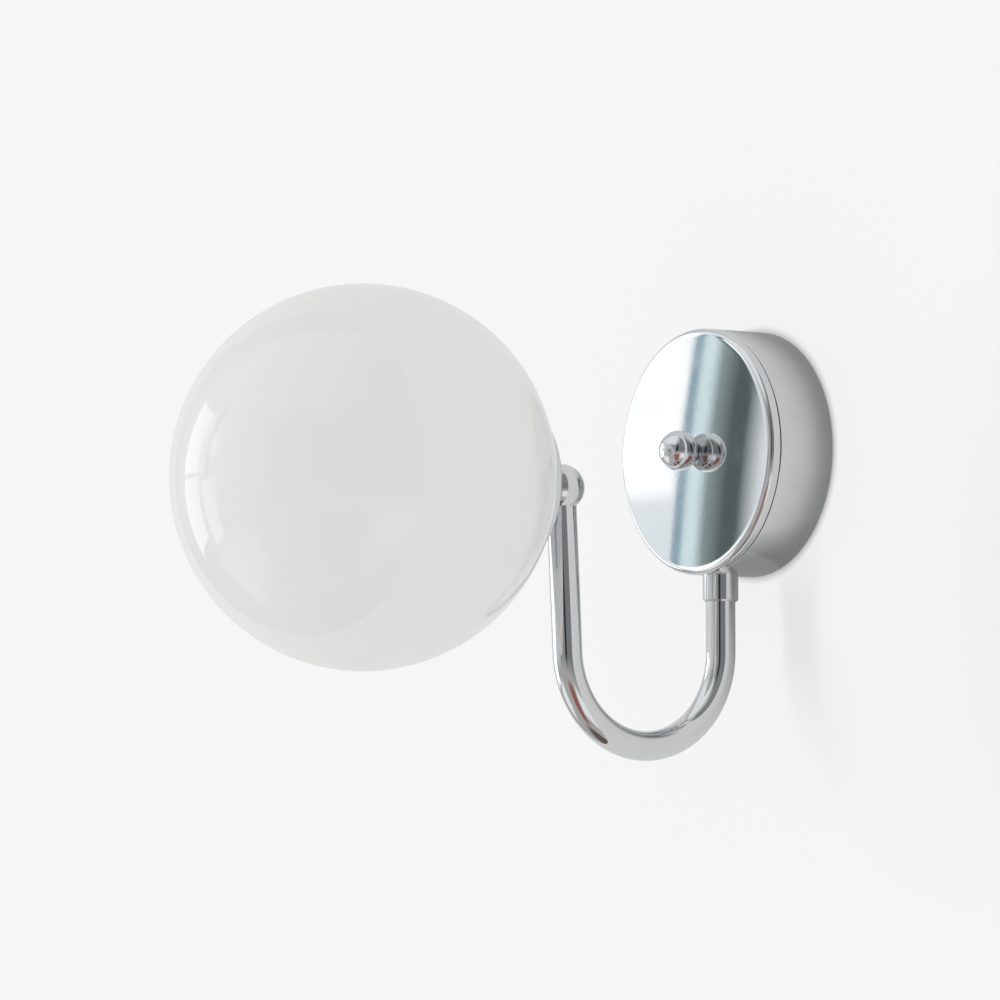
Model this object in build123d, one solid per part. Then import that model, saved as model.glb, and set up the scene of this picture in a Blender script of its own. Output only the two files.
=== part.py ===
from build123d import *
import math
import os

# Globe wall sconce: a round chrome canopy, a U-shaped tube arm that hangs from a swivel collar
# under it, and an opal globe in front of the outer leg.
# Row frame: the origin is the centre of the canopy's back, on the wall. The wall is the plane
# Y = 0, the light stands out towards -Y, and +Z is up. All sizes are millimetres.

# ------------------------------------------------------------------ driving sizes
# Canopy
canopy_dia = 100.0          # cover and body, outside
canopy_depth = 32.0         # wall to the crown of the cover
cover_dome = 0.8            # crown of the cover in front of the edge of its face
cover_skirt = 6.0           # crown of the cover to the seam
cover_edge_radius = 2.5
canopy_wall = 1.0
back_rim_width = 4.0        # inward flange that lies on the wall
lip_length = 2.4            # how far the body's lip reaches into the cover

# Mounting bracket
bracket_end_gap = 7.0       # end of the bracket to the canopy's outside
bracket_width = 16.0
bracket_thickness = 1.8
bracket_raise = 7.0         # underside of the middle above the wall
bracket_flat_half = 12.0    # half length of the raised middle
bracket_foot_inner = 20.0   # where each foot starts
slot_end_gap = 11.0         # middle of a slot to the bracket's end
slot_length = 12.0
slot_width = 4.6
upper_lug_reach = 34.0      # centre of the bracket to the lug's upper end
lower_lug_reach = 21.0
lug_width = 14.0

# Threaded rod, its nut and the ball finial
rod_dia = 6.0
rod_tail = 2.6              # how far the rod shows behind the bracket
rod_nut_flats = 10.0
rod_nut_height = 5.0
finial_dia = 16.3
finial_seat_dia = 7.4       # flat of the ball on the cover
finial_hole_depth = 6.5
rod_tip_clear = 1.0         # end of the rod to the bottom of the finial's hole

# Terminal block
block_poles = 3
block_pitch = 10.0
block_height = 16.0
block_depth = 13.0
block_centre_z = 25.0
block_end_wall = 1.0        # beyond the outer poles
block_corner = 1.0
clamp_dia = 4.4
clamp_bore = 3.0
clamp_length = 14.0
terminal_screw_dia = 2.8
terminal_screw_offset = 4.0
terminal_screw_sink = 2.0   # screw heads below the block's face
terminal_screw_bite = 0.2   # how far a screw's tip stands in the clamp's bore
driver_slot_width = 0.6
driver_slot_depth = 0.8
block_screw_dia = 2.8
block_screw_head = 4.6
block_head_height = 1.8
block_screw_sink = 3.0      # seat of the fixing screws below the block's face

# Slotted screw heads, as shares of the head
cut_widthshare = 0.2
slot_depth_share = 0.4
head_round_share = 0.3

# Earth point
earth_z = -15.0
earth_screw_dia = 4.0
earth_head_dia = 7.0
earth_head_height = 2.4
earth_screw_spare = 2.0     # screw behind the bracket
earth_tag_thickness = 0.8
earth_tag_dia = 8.0
earth_tail_width = 3.2
earth_tail_length = 1.6     # edge of the tag to the barrel
earth_tail_lap = 0.6        # how far the tail runs into the tag and the barrel
earth_barrel_length = 4.0
earth_barrel_wall = 0.5

# Swivel under the canopy
swivel_out = 18.0           # swivel axis in front of the wall
collar_wall = 1.25          # collar beyond the tube, all round
collar_height = 10.5        # bottom of the canopy to the bottom of the collar
collar_chamfer = 0.7
tube_socket = 3.5           # how far the tube reaches into the collar
nipple_wall = 1.0
arm_nipple_in_tube = 13.0
saddle_width = 4.0          # saddle beyond the nipple, all round
saddle_thickness = 2.8      # at its middle
stop_post_width = 3.0
stop_ring_width = 1.7       # the ring that the post runs in
swivel_each_way = 60.0      # degrees
stop_slack = 2.0            # degrees from each end of the swivel to the stop
stop_washer_thickness = 1.5
spring_washer_width = 2.2   # washer beyond the nipple, all round
spring_washer_thickness = 0.5
spring_washer_cone = 0.5
nipple_nut_width = 2.0      # flats beyond the nipple, all round
nipple_nut_height = 3.0
nipple_top_clear = 1.2      # nipple above its nut
lead_meet_depth = 6.0       # end of the sheathed cable below the nipple's top

# Arm
tube_dia = 12.0
tube_wall = 1.0
bend_radius = 38.5          # centreline
bend_drop = 31.0            # bottom of the canopy to the bend's centre
leg_lean = 2.8              # degrees that the outer leg leans out
knuckle_step = 3.5          # ball beyond the tube, all round
knuckle_z = -17.5
knuckle_land = 0.2          # between the ends of the two nipples in the ball
knuckle_shoulder = 0.5      # nipple beyond the ball's cross bore, all round

# Lamp head
knuckle_to_gallery = 19.5   # centre of the knuckle to the dish's flat back
neck_flare = 3.0            # foot of the neck sleeve beyond the sleeve, all round
neck_foot_height = 1.2
gallery_depth = 7.0         # globe's ground edge to the dish's flat back
gallery_back_dia = 32.0
gallery_dia = 65.0
gallery_slope_depth = 3.4   # flat back to where the slope meets the rim
gallery_rim_depth = 6.6     # flat back to the rim's front edge
gallery_rim_round = 1.0
gallery_wall = 1.2
boss_dia = 49.0
boss_wall = 2.2
boss_hub_dia = 30.0
boss_web = 1.5
boss_length = 8.3           # skirt in front of the web
gasket_inner_dia = 50.6
gasket_thickness = 1.4

# Globe
globe_dia = 150.0
glass_thickness = 3.0
globe_edge_dia = 63.28      # outside of the ground edge
mouth_dia = 55.0
ring_flange_dia = 62.0
ring_flange = 1.2
ring_depth = 7.5            # spigot inside the mouth

# Lampholder (E14)
holder_dia = 28.0
holder_cap_length = 17.5
holder_length = 48.0
holder_wall = 1.6
holder_entry = 6.0          # threaded neck of the cap
holder_top_dia = 17.4       # flat top of the cap
holder_dome_height = 6.3
holder_top_round = 1.5
holder_dome_round = 3.0
holder_collar_length = 6.0
holder_collar_step = 1.0
holder_plug_length = 3.0
holder_bore = 16.0
holder_base = 5.0
shell_wall = 0.6
shell_length = 22.0
contact_plate = 1.0
contact_plate_dia = 6.0
contact_stem_dia = 2.4
contact_stem_rise = 3.5
contact_link_width = 2.0
side_link_length = 1.2
holder_screw_dia = 3.0
holder_screw_height = 2.4
holder_terminal_x = 5.5

# Lamp (E14 golf ball)
bulb_dia = 45.0
bulb_length = 75.0          # tip of the cap to the front of the diffuser
bulb_housing_reach = 15.0   # middle of the diffuser to where it meets the housing
bulb_cap_dia = 13.9
bulb_cap_length = 21.0
bulb_cap_wall = 0.5
bulb_cap_bevel = 1.5
bulb_tip = 1.6
bulb_tip_dia = 6.0
bulb_tip_taper = 1.0
bulb_neck_dia = 17.0
bulb_neck_step = 0.6
bulb_neck_length = 1.9
bulb_wall = 1.2
board_dia = 30.0
board_thickness = 1.6

# Cables
cable_dia = 5.2
lead_dia = 2.0
cable_bend = 7.0            # inside the knuckle
cable_in_cap = 1.0          # cable beyond the nipple in the lampholder's cap
lead_spread = 1.25
lead_in_clamp = 5.0
lead_above_nipple = 5.0
lead_upper_bend = 14.0
lead_lower_bend = 12.0
earth_lead_back = 2.25      # earth lead behind the swivel's axis
earth_lead_drop = 6.0
earth_lead_bend = 5.0
holder_lead_straight = 2.5
holder_lead_above = 1.2     # bend of the lead above the top of its terminal screw
holder_lead_below = 2.4     # end of the lead below the top of the screw
holder_lead_bend = 1.4

# Clearances
fit_gap = 0.08              # radial, turning fits and threads
face_gap = 0.05             # between flat faces that turn on each other
seam_gap = 0.3
slip_gap = 0.3              # radial, pieces that clear each other
over = 1.0                  # how far cutters run past what they cut

# ------------------------------------------------------------------ places worked out from them
canopy_r = canopy_dia / 2
inner_r = canopy_r - canopy_wall
cover_edge_out = canopy_depth - cover_dome
seam_out = canopy_depth - cover_skirt
lip_r = inner_r - seam_gap
bracket_length = canopy_dia - 2 * bracket_end_gap
slot_spacing = bracket_length - 2 * slot_end_gap
plate_front_out = bracket_raise + bracket_thickness
block_front_out = plate_front_out + block_depth
tube_r = tube_dia / 2
nipple_r = tube_r - tube_wall
nipple_bore_r = nipple_r - nipple_wall
collar_r = tube_r + collar_wall
saddle_r = nipple_r + saddle_width
nipple_nut_flats = 2 * (nipple_r + nipple_nut_width)
collar_bottom = -canopy_r - collar_height
tube_top = collar_bottom + tube_socket
saddle_top = -inner_r + saddle_thickness
stop_washer_top = saddle_top + face_gap + stop_washer_thickness
spring_washer_top = stop_washer_top + spring_washer_thickness + spring_washer_cone
nipple_nut_top = spring_washer_top + nipple_nut_height
nipple_top = nipple_nut_top + nipple_top_clear
lead_meet_z = nipple_top - lead_meet_depth
bend_centre_z = -canopy_r - bend_drop
bend_centre_out = swivel_out + bend_radius
lean = math.radians(leg_lean)
bend_end_out = bend_centre_out + bend_radius * math.cos(lean)
bend_end_z = bend_centre_z - bend_radius * math.sin(lean)
leg_run = (knuckle_z - bend_end_z) / math.cos(lean)
knuckle_out = bend_end_out + leg_run * math.sin(lean)
knuckle_r = tube_r + knuckle_step
knuckle_flat = math.sqrt(knuckle_r ** 2 - tube_r ** 2)
knuckle_bore_r = nipple_r - knuckle_shoulder
thread_stop = nipple_r + knuckle_land
globe_r = globe_dia / 2
globe_mouth = math.sqrt(globe_r ** 2 - (globe_edge_dia / 2) ** 2)
gallery_back = globe_mouth + gallery_depth
gallery_inner_back = gallery_back - gallery_wall
gallery_slope = gallery_slope_depth / ((gallery_dia - gallery_back_dia) / 2)
head_length = gallery_back + knuckle_to_gallery
neck_front = head_length - knuckle_flat
globe_out = knuckle_out + head_length
boss_r = boss_dia / 2
boss_web_back = gallery_inner_back - (boss_r - gallery_back_dia / 2) * gallery_slope - slip_gap
boss_web_front = boss_web_back - boss_web
boss_skirt_front = boss_web_front - boss_length
ring_inner_r = boss_r + fit_gap
ring_back = globe_mouth + ring_flange
nut_front = boss_web_front - nipple_nut_height
holder_back = nut_front
cap_front = holder_back - holder_cap_length
holder_front = holder_back - holder_length
shell_back = cap_front - holder_base
shell_front = shell_back - shell_length
shell_r = holder_bore / 2 - face_gap
nipple_in_cap = holder_back - holder_entry
stem_top = cap_front + holder_plug_length + contact_stem_rise
bulb_cap_back = shell_back - contact_plate - slip_gap - bulb_tip
bulb_cap_front = bulb_cap_back - bulb_cap_length
bulb_r = bulb_dia / 2
bulb_centre = bulb_cap_back + bulb_tip - bulb_length + bulb_r
bulb_shoulder = bulb_centre + bulb_housing_reach
bulb_rim_r = math.sqrt(bulb_r ** 2 - bulb_housing_reach ** 2)

# ------------------------------------------------------------------ axes that pieces are turned about
# Each one maps a turned piece's own +Z to its place: out from the wall on the canopy's axis, up on
# the swivel's, back to the wall on the lamp head's, and down the outer leg from the knuckle.
OUT = Plane(origin=(0, 0, 0), x_dir=(1, 0, 0), z_dir=(0, -1, 0)).location
SWIVEL = Location((0, -swivel_out, 0))
HEAD = Plane(origin=(0, -globe_out, knuckle_z), x_dir=(1, 0, 0), z_dir=(0, 1, 0)).location
KNUCKLE = Location((0, -knuckle_out, knuckle_z))
LEG = Plane(
    origin=(0, -knuckle_out, knuckle_z),
    x_dir=(1, 0, 0),
    z_dir=(0, math.sin(lean), -math.cos(lean)),
).location


def turned(profile, rounds=None):
    """Turn a closed outline of (radius, height) points about +Z; rounds holds corner numbers and radii."""
    face = make_face(Polyline(*profile, close=True))
    for number, radius in (rounds or {}).items():
        corner = face.vertices().sort_by_distance(Vector(*profile[number], 0))[0]
        face = fillet(corner, radius)
    return revolve(Plane.XZ * face, Axis.Z)


def ring(outer_r, hole_r, low, high):
    """A plain ring or, with no hole, a plain disc, between two heights."""
    return turned([(hole_r, low), (outer_r, low), (outer_r, high), (hole_r, high)])


def hex_nut(flats, bore_r, low, high):
    """A hexagonal nut with chamfered corners."""
    height = high - low
    corner_r = flats / math.sqrt(3)
    chamfer_h = (corner_r - flats / 2) * math.tan(math.radians(30))
    prism = Pos(0, 0, low) * extrude(RegularPolygon(flats / 2, 6, major_radius=False), height)
    cone = turned([
        (0, low), (flats / 2, low), (corner_r, low + chamfer_h),
        (corner_r, high - chamfer_h), (flats / 2, high), (0, high),
    ])
    return (prism & cone) - ring(bore_r, 0, low - over, high + over)


def round_bar(points, radius, bends):
    """A round bar or wire along straight runs joined by tangent arcs, one radius for each corner."""
    path = FilletPolyline(*points, radius=bends) if bends else Line(*points)
    return sweep(Plane(origin=path @ 0, z_dir=path % 0) * Circle(radius), path=path)


# ------------------------------------------------------------------ canopy
def crowned_disc(radius, low, crown_out, edge_radius):
    """A disc with a crowned face and a rounded edge, from a height up to its crown."""
    crown_r = (canopy_r ** 2 + cover_dome ** 2) / (2 * cover_dome)

    def crown_point(at_radius):
        return (at_radius, crown_out - crown_r + math.sqrt(crown_r ** 2 - at_radius ** 2))

    sides = Polyline((0, crown_out), (0, low), (radius, low), crown_point(radius))
    crown = ThreePointArc(crown_point(radius), crown_point(radius / 2), (0, crown_out))
    face = make_face(sides + crown)
    face_corner = face.vertices().sort_by_distance(Vector(*crown_point(radius), 0))[0]
    return revolve(Plane.XZ * fillet(face_corner, edge_radius), Axis.Z)


def canopy_cover():
    """Shallow front cover: a slightly crowned face, a rounded edge and a short skirt."""
    outside = crowned_disc(canopy_r, seam_out + seam_gap, canopy_depth, cover_edge_radius)
    inside_edge = max(cover_edge_radius - canopy_wall, canopy_wall / 2)
    inside = crowned_disc(inner_r, 0, canopy_depth - canopy_wall, inside_edge)
    rod_hole = ring(rod_dia / 2 + slip_gap, 0, 0, canopy_depth + over)
    return OUT * (outside - inside - rod_hole)


def canopy_body():
    """Deep ring behind the cover, with a wall flange, a joggled lip and the hole for the arm."""
    lip_front = min(seam_out + lip_length, cover_edge_out - cover_edge_radius - seam_gap)
    shell = turned([
        (canopy_r - back_rim_width, 0), (canopy_r, 0), (canopy_r, seam_out), (lip_r, seam_out),
        (lip_r, lip_front), (lip_r - canopy_wall, lip_front), (lip_r - canopy_wall, seam_out - canopy_wall),
        (inner_r, seam_out - canopy_wall), (inner_r, canopy_wall), (canopy_r - back_rim_width, canopy_wall),
    ])
    arm_hole = SWIVEL * ring(nipple_r + slip_gap, 0, -canopy_r - over, -inner_r + over)
    return OUT * shell - arm_hole


def mounting_bracket():
    """Strap with two feet on the wall, a raised tapped middle and a lug above and below it."""
    half = bracket_length / 2
    raise_, thick, flat, foot = bracket_raise, bracket_thickness, bracket_flat_half, bracket_foot_inner
    side = [
        (-half, 0), (-foot, 0), (-flat, -raise_), (flat, -raise_), (foot, 0), (half, 0), (half, -thick),
        (foot, -thick), (flat, -raise_ - thick), (-flat, -raise_ - thick), (-foot, -thick), (-half, -thick),
    ]
    outline = make_face(Polyline(*side, close=True))
    strap = Pos(0, 0, -bracket_width / 2) * extrude(outline, bracket_width)
    lug_height = upper_lug_reach + lower_lug_reach
    lug_z = (upper_lug_reach - lower_lug_reach) / 2
    plate = strap + Pos(0, -raise_ - thick / 2, lug_z) * Box(lug_width, thick, lug_height)
    past = plate_front_out + over
    slot = extrude(SlotOverall(slot_length, slot_width), past + over)
    block_hole = ring(block_screw_dia / 2, 0, 0, past)
    for side_x in (-1, 1):
        plate -= Pos(side_x * slot_spacing / 2, over, 0) * Rot(90, 0, 0) * slot
        plate -= Pos(side_x * block_pitch / 2, 0, block_centre_z) * OUT * block_hole
    plate -= OUT * ring(rod_dia / 2, 0, 0, past)
    plate -= Pos(0, 0, earth_z) * OUT * ring(earth_screw_dia / 2, 0, 0, past)
    return plate


def threaded_rod():
    """Rod from behind the bracket to just short of the bottom of the finial's hole."""
    rod_tip = canopy_depth + finial_hole_depth - rod_tip_clear
    return OUT * ring(rod_dia / 2, 0, bracket_raise - rod_tail, rod_tip)


def rod_lock_nut():
    return OUT * hex_nut(rod_nut_flats, rod_dia / 2, plate_front_out, plate_front_out + rod_nut_height)


def ball_finial():
    """Ball with a flat seat on the cover and a blind threaded hole."""
    finial_r = finial_dia / 2
    centre_out = canopy_depth + math.sqrt(finial_r ** 2 - (finial_seat_dia / 2) ** 2)
    ball = Pos(0, 0, centre_out) * Sphere(finial_r)
    ball -= ring(finial_dia, 0, canopy_depth - finial_dia, canopy_depth + face_gap)
    hole = ring(rod_dia / 2 + fit_gap, 0, canopy_depth - over, canopy_depth + finial_hole_depth)
    return OUT * (ball - hole)


# ------------------------------------------------------------------ terminal block and earth point
def pole_places():
    """X of each pole of the terminal block."""
    return [(number - (block_poles - 1) / 2) * block_pitch for number in range(block_poles)]


def block_middle_out():
    return plate_front_out + block_depth / 2


def terminal_screw_places():
    """X and Z of each terminal screw, two on each pole."""
    return [(x, block_centre_z + side * terminal_screw_offset) for x in pole_places() for side in (-1, 1)]


def terminal_block():
    """Moulded block with a clamp bore and two screw wells on each pole, and two fixing holes."""
    length = block_poles * block_pitch + 2 * block_end_wall
    block = Pos(0, -block_middle_out(), block_centre_z) * Box(length, block_depth, block_height)
    block = fillet(block.edges().filter_by(Axis.Y), block_corner)
    for x in pole_places():
        bore = Cylinder(clamp_dia / 2 + face_gap, block_height + over)
        block -= Pos(x, -block_middle_out(), block_centre_z) * bore
    for x, z in terminal_screw_places():
        well = ring(terminal_screw_dia / 2 + face_gap, 0, block_middle_out(), block_front_out + over)
        block -= Pos(x, 0, z) * OUT * well
    for side in (-1, 1):
        hole = ring(block_screw_dia / 2 + face_gap, 0, 0, block_front_out + over)
        seat_out = block_front_out - block_screw_sink
        well = ring(block_screw_head / 2 + face_gap, 0, seat_out, block_front_out + over)
        block -= Pos(side * block_pitch / 2, 0, block_centre_z) * OUT * (hole + well)
    return block


def terminal_clamps():
    clamps = []
    for x in pole_places():
        barrel = Cylinder(clamp_dia / 2, clamp_length) - Cylinder(clamp_bore / 2, clamp_length + over)
        clamp = Pos(x, -block_middle_out(), block_centre_z) * barrel
        for side in (-1, 1):
            hole = ring(terminal_screw_dia / 2, 0, block_middle_out(), block_front_out)
            clamp -= Pos(x, 0, block_centre_z + side * terminal_screw_offset) * OUT * hole
        clamps.append(clamp)
    return Compound(children=clamps)


def slotted_screw(head_dia, head_height, shank_dia, shank_length):
    """Screw that points down -Z from the underside of its head at height 0."""
    head = turned(
        [(0, 0), (head_dia / 2, 0), (head_dia / 2, head_height), (0, head_height)],
        rounds={2: head_height * head_round_share},
    )
    cut_width, cut_depth = head_dia * cut_widthshare, head_height * slot_depth_share
    slot = Pos(0, 0, head_height) * Box(head_dia + over, cut_width, 2 * cut_depth)
    return head + ring(shank_dia / 2, 0, -shank_length, 0) - slot


def terminal_screws():
    """Grub screws that stand on the clamps' bores, with their slots sunk in the wells."""
    screws = []
    tip_out = block_middle_out() + clamp_bore / 2 - terminal_screw_bite
    top_out = block_front_out - terminal_screw_sink
    for x, z in terminal_screw_places():
        screw = ring(terminal_screw_dia / 2, 0, tip_out, top_out)
        slot = Pos(0, 0, top_out) * Box(terminal_screw_dia + over, driver_slot_width, 2 * driver_slot_depth)
        screws.append(Pos(x, 0, z) * OUT * (screw - slot))
    return Compound(children=screws)


def block_screws():
    """Two screws that hold the block on the upper lug."""
    screws = []
    seat_out = block_front_out - block_screw_sink
    for side in (-1, 1):
        screw = slotted_screw(block_screw_head, block_head_height, block_screw_dia, seat_out - bracket_raise)
        screws.append(Pos(side * block_pitch / 2, 0, block_centre_z) * OUT * Pos(0, 0, seat_out) * screw)
    return Compound(children=screws)


def earth_barrel_top():
    """Height of the upper end of the tag's barrel."""
    return earth_z - earth_tag_dia / 2 - earth_tail_length


def earth_barrel_out():
    return plate_front_out + lead_dia / 2 + earth_barrel_wall


def earth_tag():
    """Ring tag under the earth screw, with the barrel that grips the earth lead."""
    tag = ring(earth_tag_dia / 2, earth_screw_dia / 2 + face_gap, 0, earth_tag_thickness)
    tail_top = earth_barrel_top() + earth_tail_length
    tail = Pos(0, -plate_front_out - earth_tag_thickness / 2, (earth_barrel_top() + tail_top) / 2) * Box(
        earth_tail_width, earth_tag_thickness, earth_tail_length + 2 * earth_tail_lap
    )
    barrel = Pos(0, -earth_barrel_out(), earth_barrel_top() - earth_barrel_length / 2) * (
        Cylinder(lead_dia / 2 + earth_barrel_wall, earth_barrel_length)
        - Cylinder(lead_dia / 2 + face_gap, earth_barrel_length + over)
    )
    return Pos(0, 0, earth_z) * OUT * Pos(0, 0, plate_front_out) * tag + tail + barrel


def earth_screw():
    shank = earth_tag_thickness + bracket_thickness + earth_screw_spare
    screw = slotted_screw(earth_head_dia, earth_head_height, earth_screw_dia, shank)
    return Pos(0, 0, earth_z) * OUT * Pos(0, 0, plate_front_out + earth_tag_thickness) * screw


# ------------------------------------------------------------------ swivel
def collar():
    """Short cylinder saddled to the canopy's underside, socketed below for the tube."""
    socket_r = tube_r + slip_gap
    blank = ring(collar_r, nipple_r + fit_gap, collar_bottom, -inner_r)
    blank -= ring(socket_r, 0, collar_bottom - over, tube_top + face_gap)
    bottom_edges = blank.edges().filter_by(GeomType.CIRCLE).sort_by(Axis.Z)[:2]
    blank = chamfer(bottom_edges.sort_by(SortBy.RADIUS)[-1], collar_chamfer)
    return SWIVEL * blank - OUT * ring(canopy_r, 0, -over, canopy_depth + over)


def stop_post_angle():
    """Half angle of the stop post at its middle radius."""
    return math.degrees(math.atan2(stop_post_width / 2, saddle_r - stop_ring_width / 2))


def saddle_washer():
    """Seat shaped to the inside of the canopy's wall and lip, with a post that limits the swivel."""
    disc = SWIVEL * ring(saddle_r, nipple_r + slip_gap, -canopy_r, saddle_top)
    wall_end = seam_out - canopy_wall - slip_gap
    lip_inside = lip_r - canopy_wall - slip_gap
    room = ring(inner_r - face_gap, 0, 0, wall_end) + ring(lip_inside, 0, wall_end, canopy_depth)
    disc = disc & (OUT * room)
    band = ring(saddle_r, saddle_r - stop_ring_width + fit_gap, saddle_top, stop_washer_top)
    post = band & Pos(0, saddle_r, saddle_top) * Box(stop_post_width, stop_ring_width * 3, saddle_r)
    return disc + SWIVEL * post


def stop_washer():
    """Washer that turns with the arm; the gap in its edge meets the saddle's post at each end."""
    inner = saddle_r - stop_ring_width
    washer = ring(saddle_r, nipple_r + face_gap, saddle_top + face_gap, stop_washer_top)
    half_gap = swivel_each_way + stop_post_angle() + stop_slack
    reach = 2 * saddle_r
    fan = [(0.0, 0.0)]
    for share in (0, 0.25, 0.5, 0.75, 1):
        angle = math.radians(90 - half_gap + 2 * half_gap * share)
        fan.append((reach * math.cos(angle), reach * math.sin(angle)))
    wedge = make_face(Polyline(*fan, close=True))
    sector = Pos(0, 0, saddle_top) * extrude(wedge, stop_washer_thickness * 2)
    hub = ring(inner, 0, saddle_top - over, stop_washer_top + stop_washer_thickness)
    return SWIVEL * (washer - (sector - hub))


def spring_washer():
    """Coned washer that keeps friction on the swivel."""
    inner, outer, low = nipple_r + slip_gap, nipple_r + spring_washer_width, stop_washer_top
    return SWIVEL * turned([
        (outer, low), (outer, low + spring_washer_thickness),
        (inner, low + spring_washer_thickness + spring_washer_cone), (inner, low + spring_washer_cone),
    ])


def arm_lock_nut():
    return SWIVEL * hex_nut(nipple_nut_flats, nipple_r, spring_washer_top, nipple_nut_top)


def arm_nipple():
    return SWIVEL * ring(nipple_r, nipple_bore_r, tube_top - arm_nipple_in_tube, nipple_top)


# ------------------------------------------------------------------ arm
def arm_path(from_z, to_knuckle):
    """Centreline from a height on the inner leg round the bend to a distance short of the knuckle."""
    mid_angle = (math.pi - lean) / 2
    bottom_out = bend_centre_out - bend_radius * math.cos(mid_angle)
    bottom = (0, -bottom_out, bend_centre_z - bend_radius * math.sin(mid_angle))
    start = (0, -swivel_out, bend_centre_z)
    end = (0, -bend_end_out, bend_end_z)
    run = leg_run - to_knuckle
    top = (0, -bend_end_out - run * math.sin(lean), bend_end_z + run * math.cos(lean))
    return Line((0, -swivel_out, from_z), start) + ThreePointArc(start, bottom, end) + Line(end, top)


def arm_tube():
    """Tube bent into a U, cut square at the collar and at the knuckle's flat."""
    path = arm_path(tube_top, knuckle_flat)
    section = Plane(origin=(0, -swivel_out, tube_top), z_dir=(0, 0, -1))
    outer = sweep(section * Circle(tube_r), path=path)
    inner = sweep(section * Circle(tube_r - tube_wall), path=path)
    return outer - inner


def knuckle_ball():
    """Ball with a flat and a tapped hole towards the leg and another towards the lamp head."""
    towards_leg = Rot(180 + leg_lean, 0, 0)
    towards_head = Rot(90, 0, 0)
    ball = Sphere(knuckle_r)
    for way in (towards_leg, towards_head):
        ball -= way * ring(knuckle_r, 0, knuckle_flat, knuckle_r + over)
        ball -= way * ring(nipple_r, 0, thread_stop, knuckle_r)
        ball -= way * ring(knuckle_bore_r, 0, 0, thread_stop + over)
    return KNUCKLE * (ball - Sphere(knuckle_bore_r))


def leg_nipple():
    return LEG * ring(nipple_r, nipple_bore_r, thread_stop, knuckle_flat + arm_nipple_in_tube)


# ------------------------------------------------------------------ lamp head
def holder_nipple():
    return HEAD * ring(nipple_r, nipple_bore_r, nipple_in_cap, head_length - thread_stop)


def neck_sleeve():
    """Sleeve between the knuckle and the dish, flared at the dish."""
    foot_r, foot_top = tube_r + neck_flare, gallery_back + neck_foot_height
    return HEAD * turned([
        (nipple_r, gallery_back), (foot_r, gallery_back), (foot_r, foot_top),
        (tube_r, foot_top + neck_flare), (tube_r, neck_front), (nipple_r, neck_front),
    ])


def gallery_slope_t(radius):
    """Height of the dish's outside on its slope at a radius."""
    return gallery_back - (radius - gallery_back_dia / 2) * gallery_slope


def gallery():
    """Shallow spun dish with a flat back, a sloped wall and a short straight rim."""
    outer_r, back_r, wall = gallery_dia / 2, gallery_back_dia / 2, gallery_wall
    rim_front = gallery_back - gallery_rim_depth
    profile = [
        (nipple_r, gallery_back), (back_r, gallery_back), (outer_r, gallery_back - gallery_slope_depth),
        (outer_r, rim_front), (outer_r - wall, rim_front),
        (outer_r - wall, gallery_slope_t(outer_r - wall) - wall), (back_r, gallery_inner_back),
        (nipple_r, gallery_inner_back),
    ]
    return HEAD * turned(profile, rounds={2: gallery_rim_round})


def screw_boss():
    """Turned ring that the globe screws on to: a hub on the dish, a web and a threaded skirt."""
    skirt_r, hub_r = boss_r - boss_wall, boss_hub_dia / 2
    profile = [
        (nipple_r, gallery_inner_back), (hub_r, gallery_inner_back), (hub_r, boss_web_back),
        (boss_r, boss_web_back), (boss_r, boss_skirt_front), (skirt_r, boss_skirt_front),
        (skirt_r, boss_web_front), (nipple_r, boss_web_front),
    ]
    return HEAD * turned(profile)


def gallery_gasket():
    """Flat soft ring that the globe's ring closes on."""
    outer_r = min(ring_flange_dia, gallery_dia - 2 * gallery_wall) / 2 - slip_gap
    back_limit = gallery_slope_t(gallery_dia / 2 - gallery_wall) - gallery_wall
    back = min(ring_back + face_gap + gasket_thickness, back_limit)
    return HEAD * ring(outer_r, gasket_inner_dia / 2, ring_back + face_gap, back)


def gallery_lock_nut():
    return HEAD * hex_nut(nipple_nut_flats, nipple_r, nut_front, boss_web_front)


def lampholder_cap():
    """Domed cap with a threaded neck for the nipple and a wiring space in front of it."""
    outer_r = holder_dia / 2
    profile = [
        (nipple_r, holder_back), (holder_top_dia / 2, holder_back),
        (outer_r, holder_back - holder_dome_height),
        (outer_r, cap_front), (outer_r - holder_wall, cap_front),
        (outer_r - holder_wall, holder_back - holder_entry), (nipple_r, holder_back - holder_entry),
    ]
    return HEAD * turned(profile, rounds={2: holder_dome_round, 1: holder_top_round})


def contact_places():
    """X of the stems that come through the lampholder's base."""
    return (-holder_terminal_x, holder_terminal_x)


def lampholder_body():
    """Insulating body: barrel, base, a register for the cap and holes for the contact stems."""
    outer_r = holder_dia / 2
    barrel_r = outer_r - holder_collar_step
    plug_r = outer_r - holder_wall - face_gap
    plug_back, collar_front = cap_front + holder_plug_length, cap_front - holder_collar_length
    body = turned([
        (0, plug_back), (plug_r, plug_back), (plug_r, cap_front), (outer_r, cap_front),
        (outer_r, collar_front), (barrel_r, collar_front), (barrel_r, holder_front),
        (holder_bore / 2, holder_front), (holder_bore / 2, shell_back), (0, shell_back),
    ])
    for x in contact_places():
        body -= Pos(x, 0, 0) * ring(contact_stem_dia / 2 + face_gap, 0, shell_back - over, plug_back + over)
    return HEAD * body


def lampholder_shell():
    """Screw shell of the lampholder."""
    return HEAD * ring(shell_r, shell_r - shell_wall, shell_front, shell_back - contact_plate - slip_gap)


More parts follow.
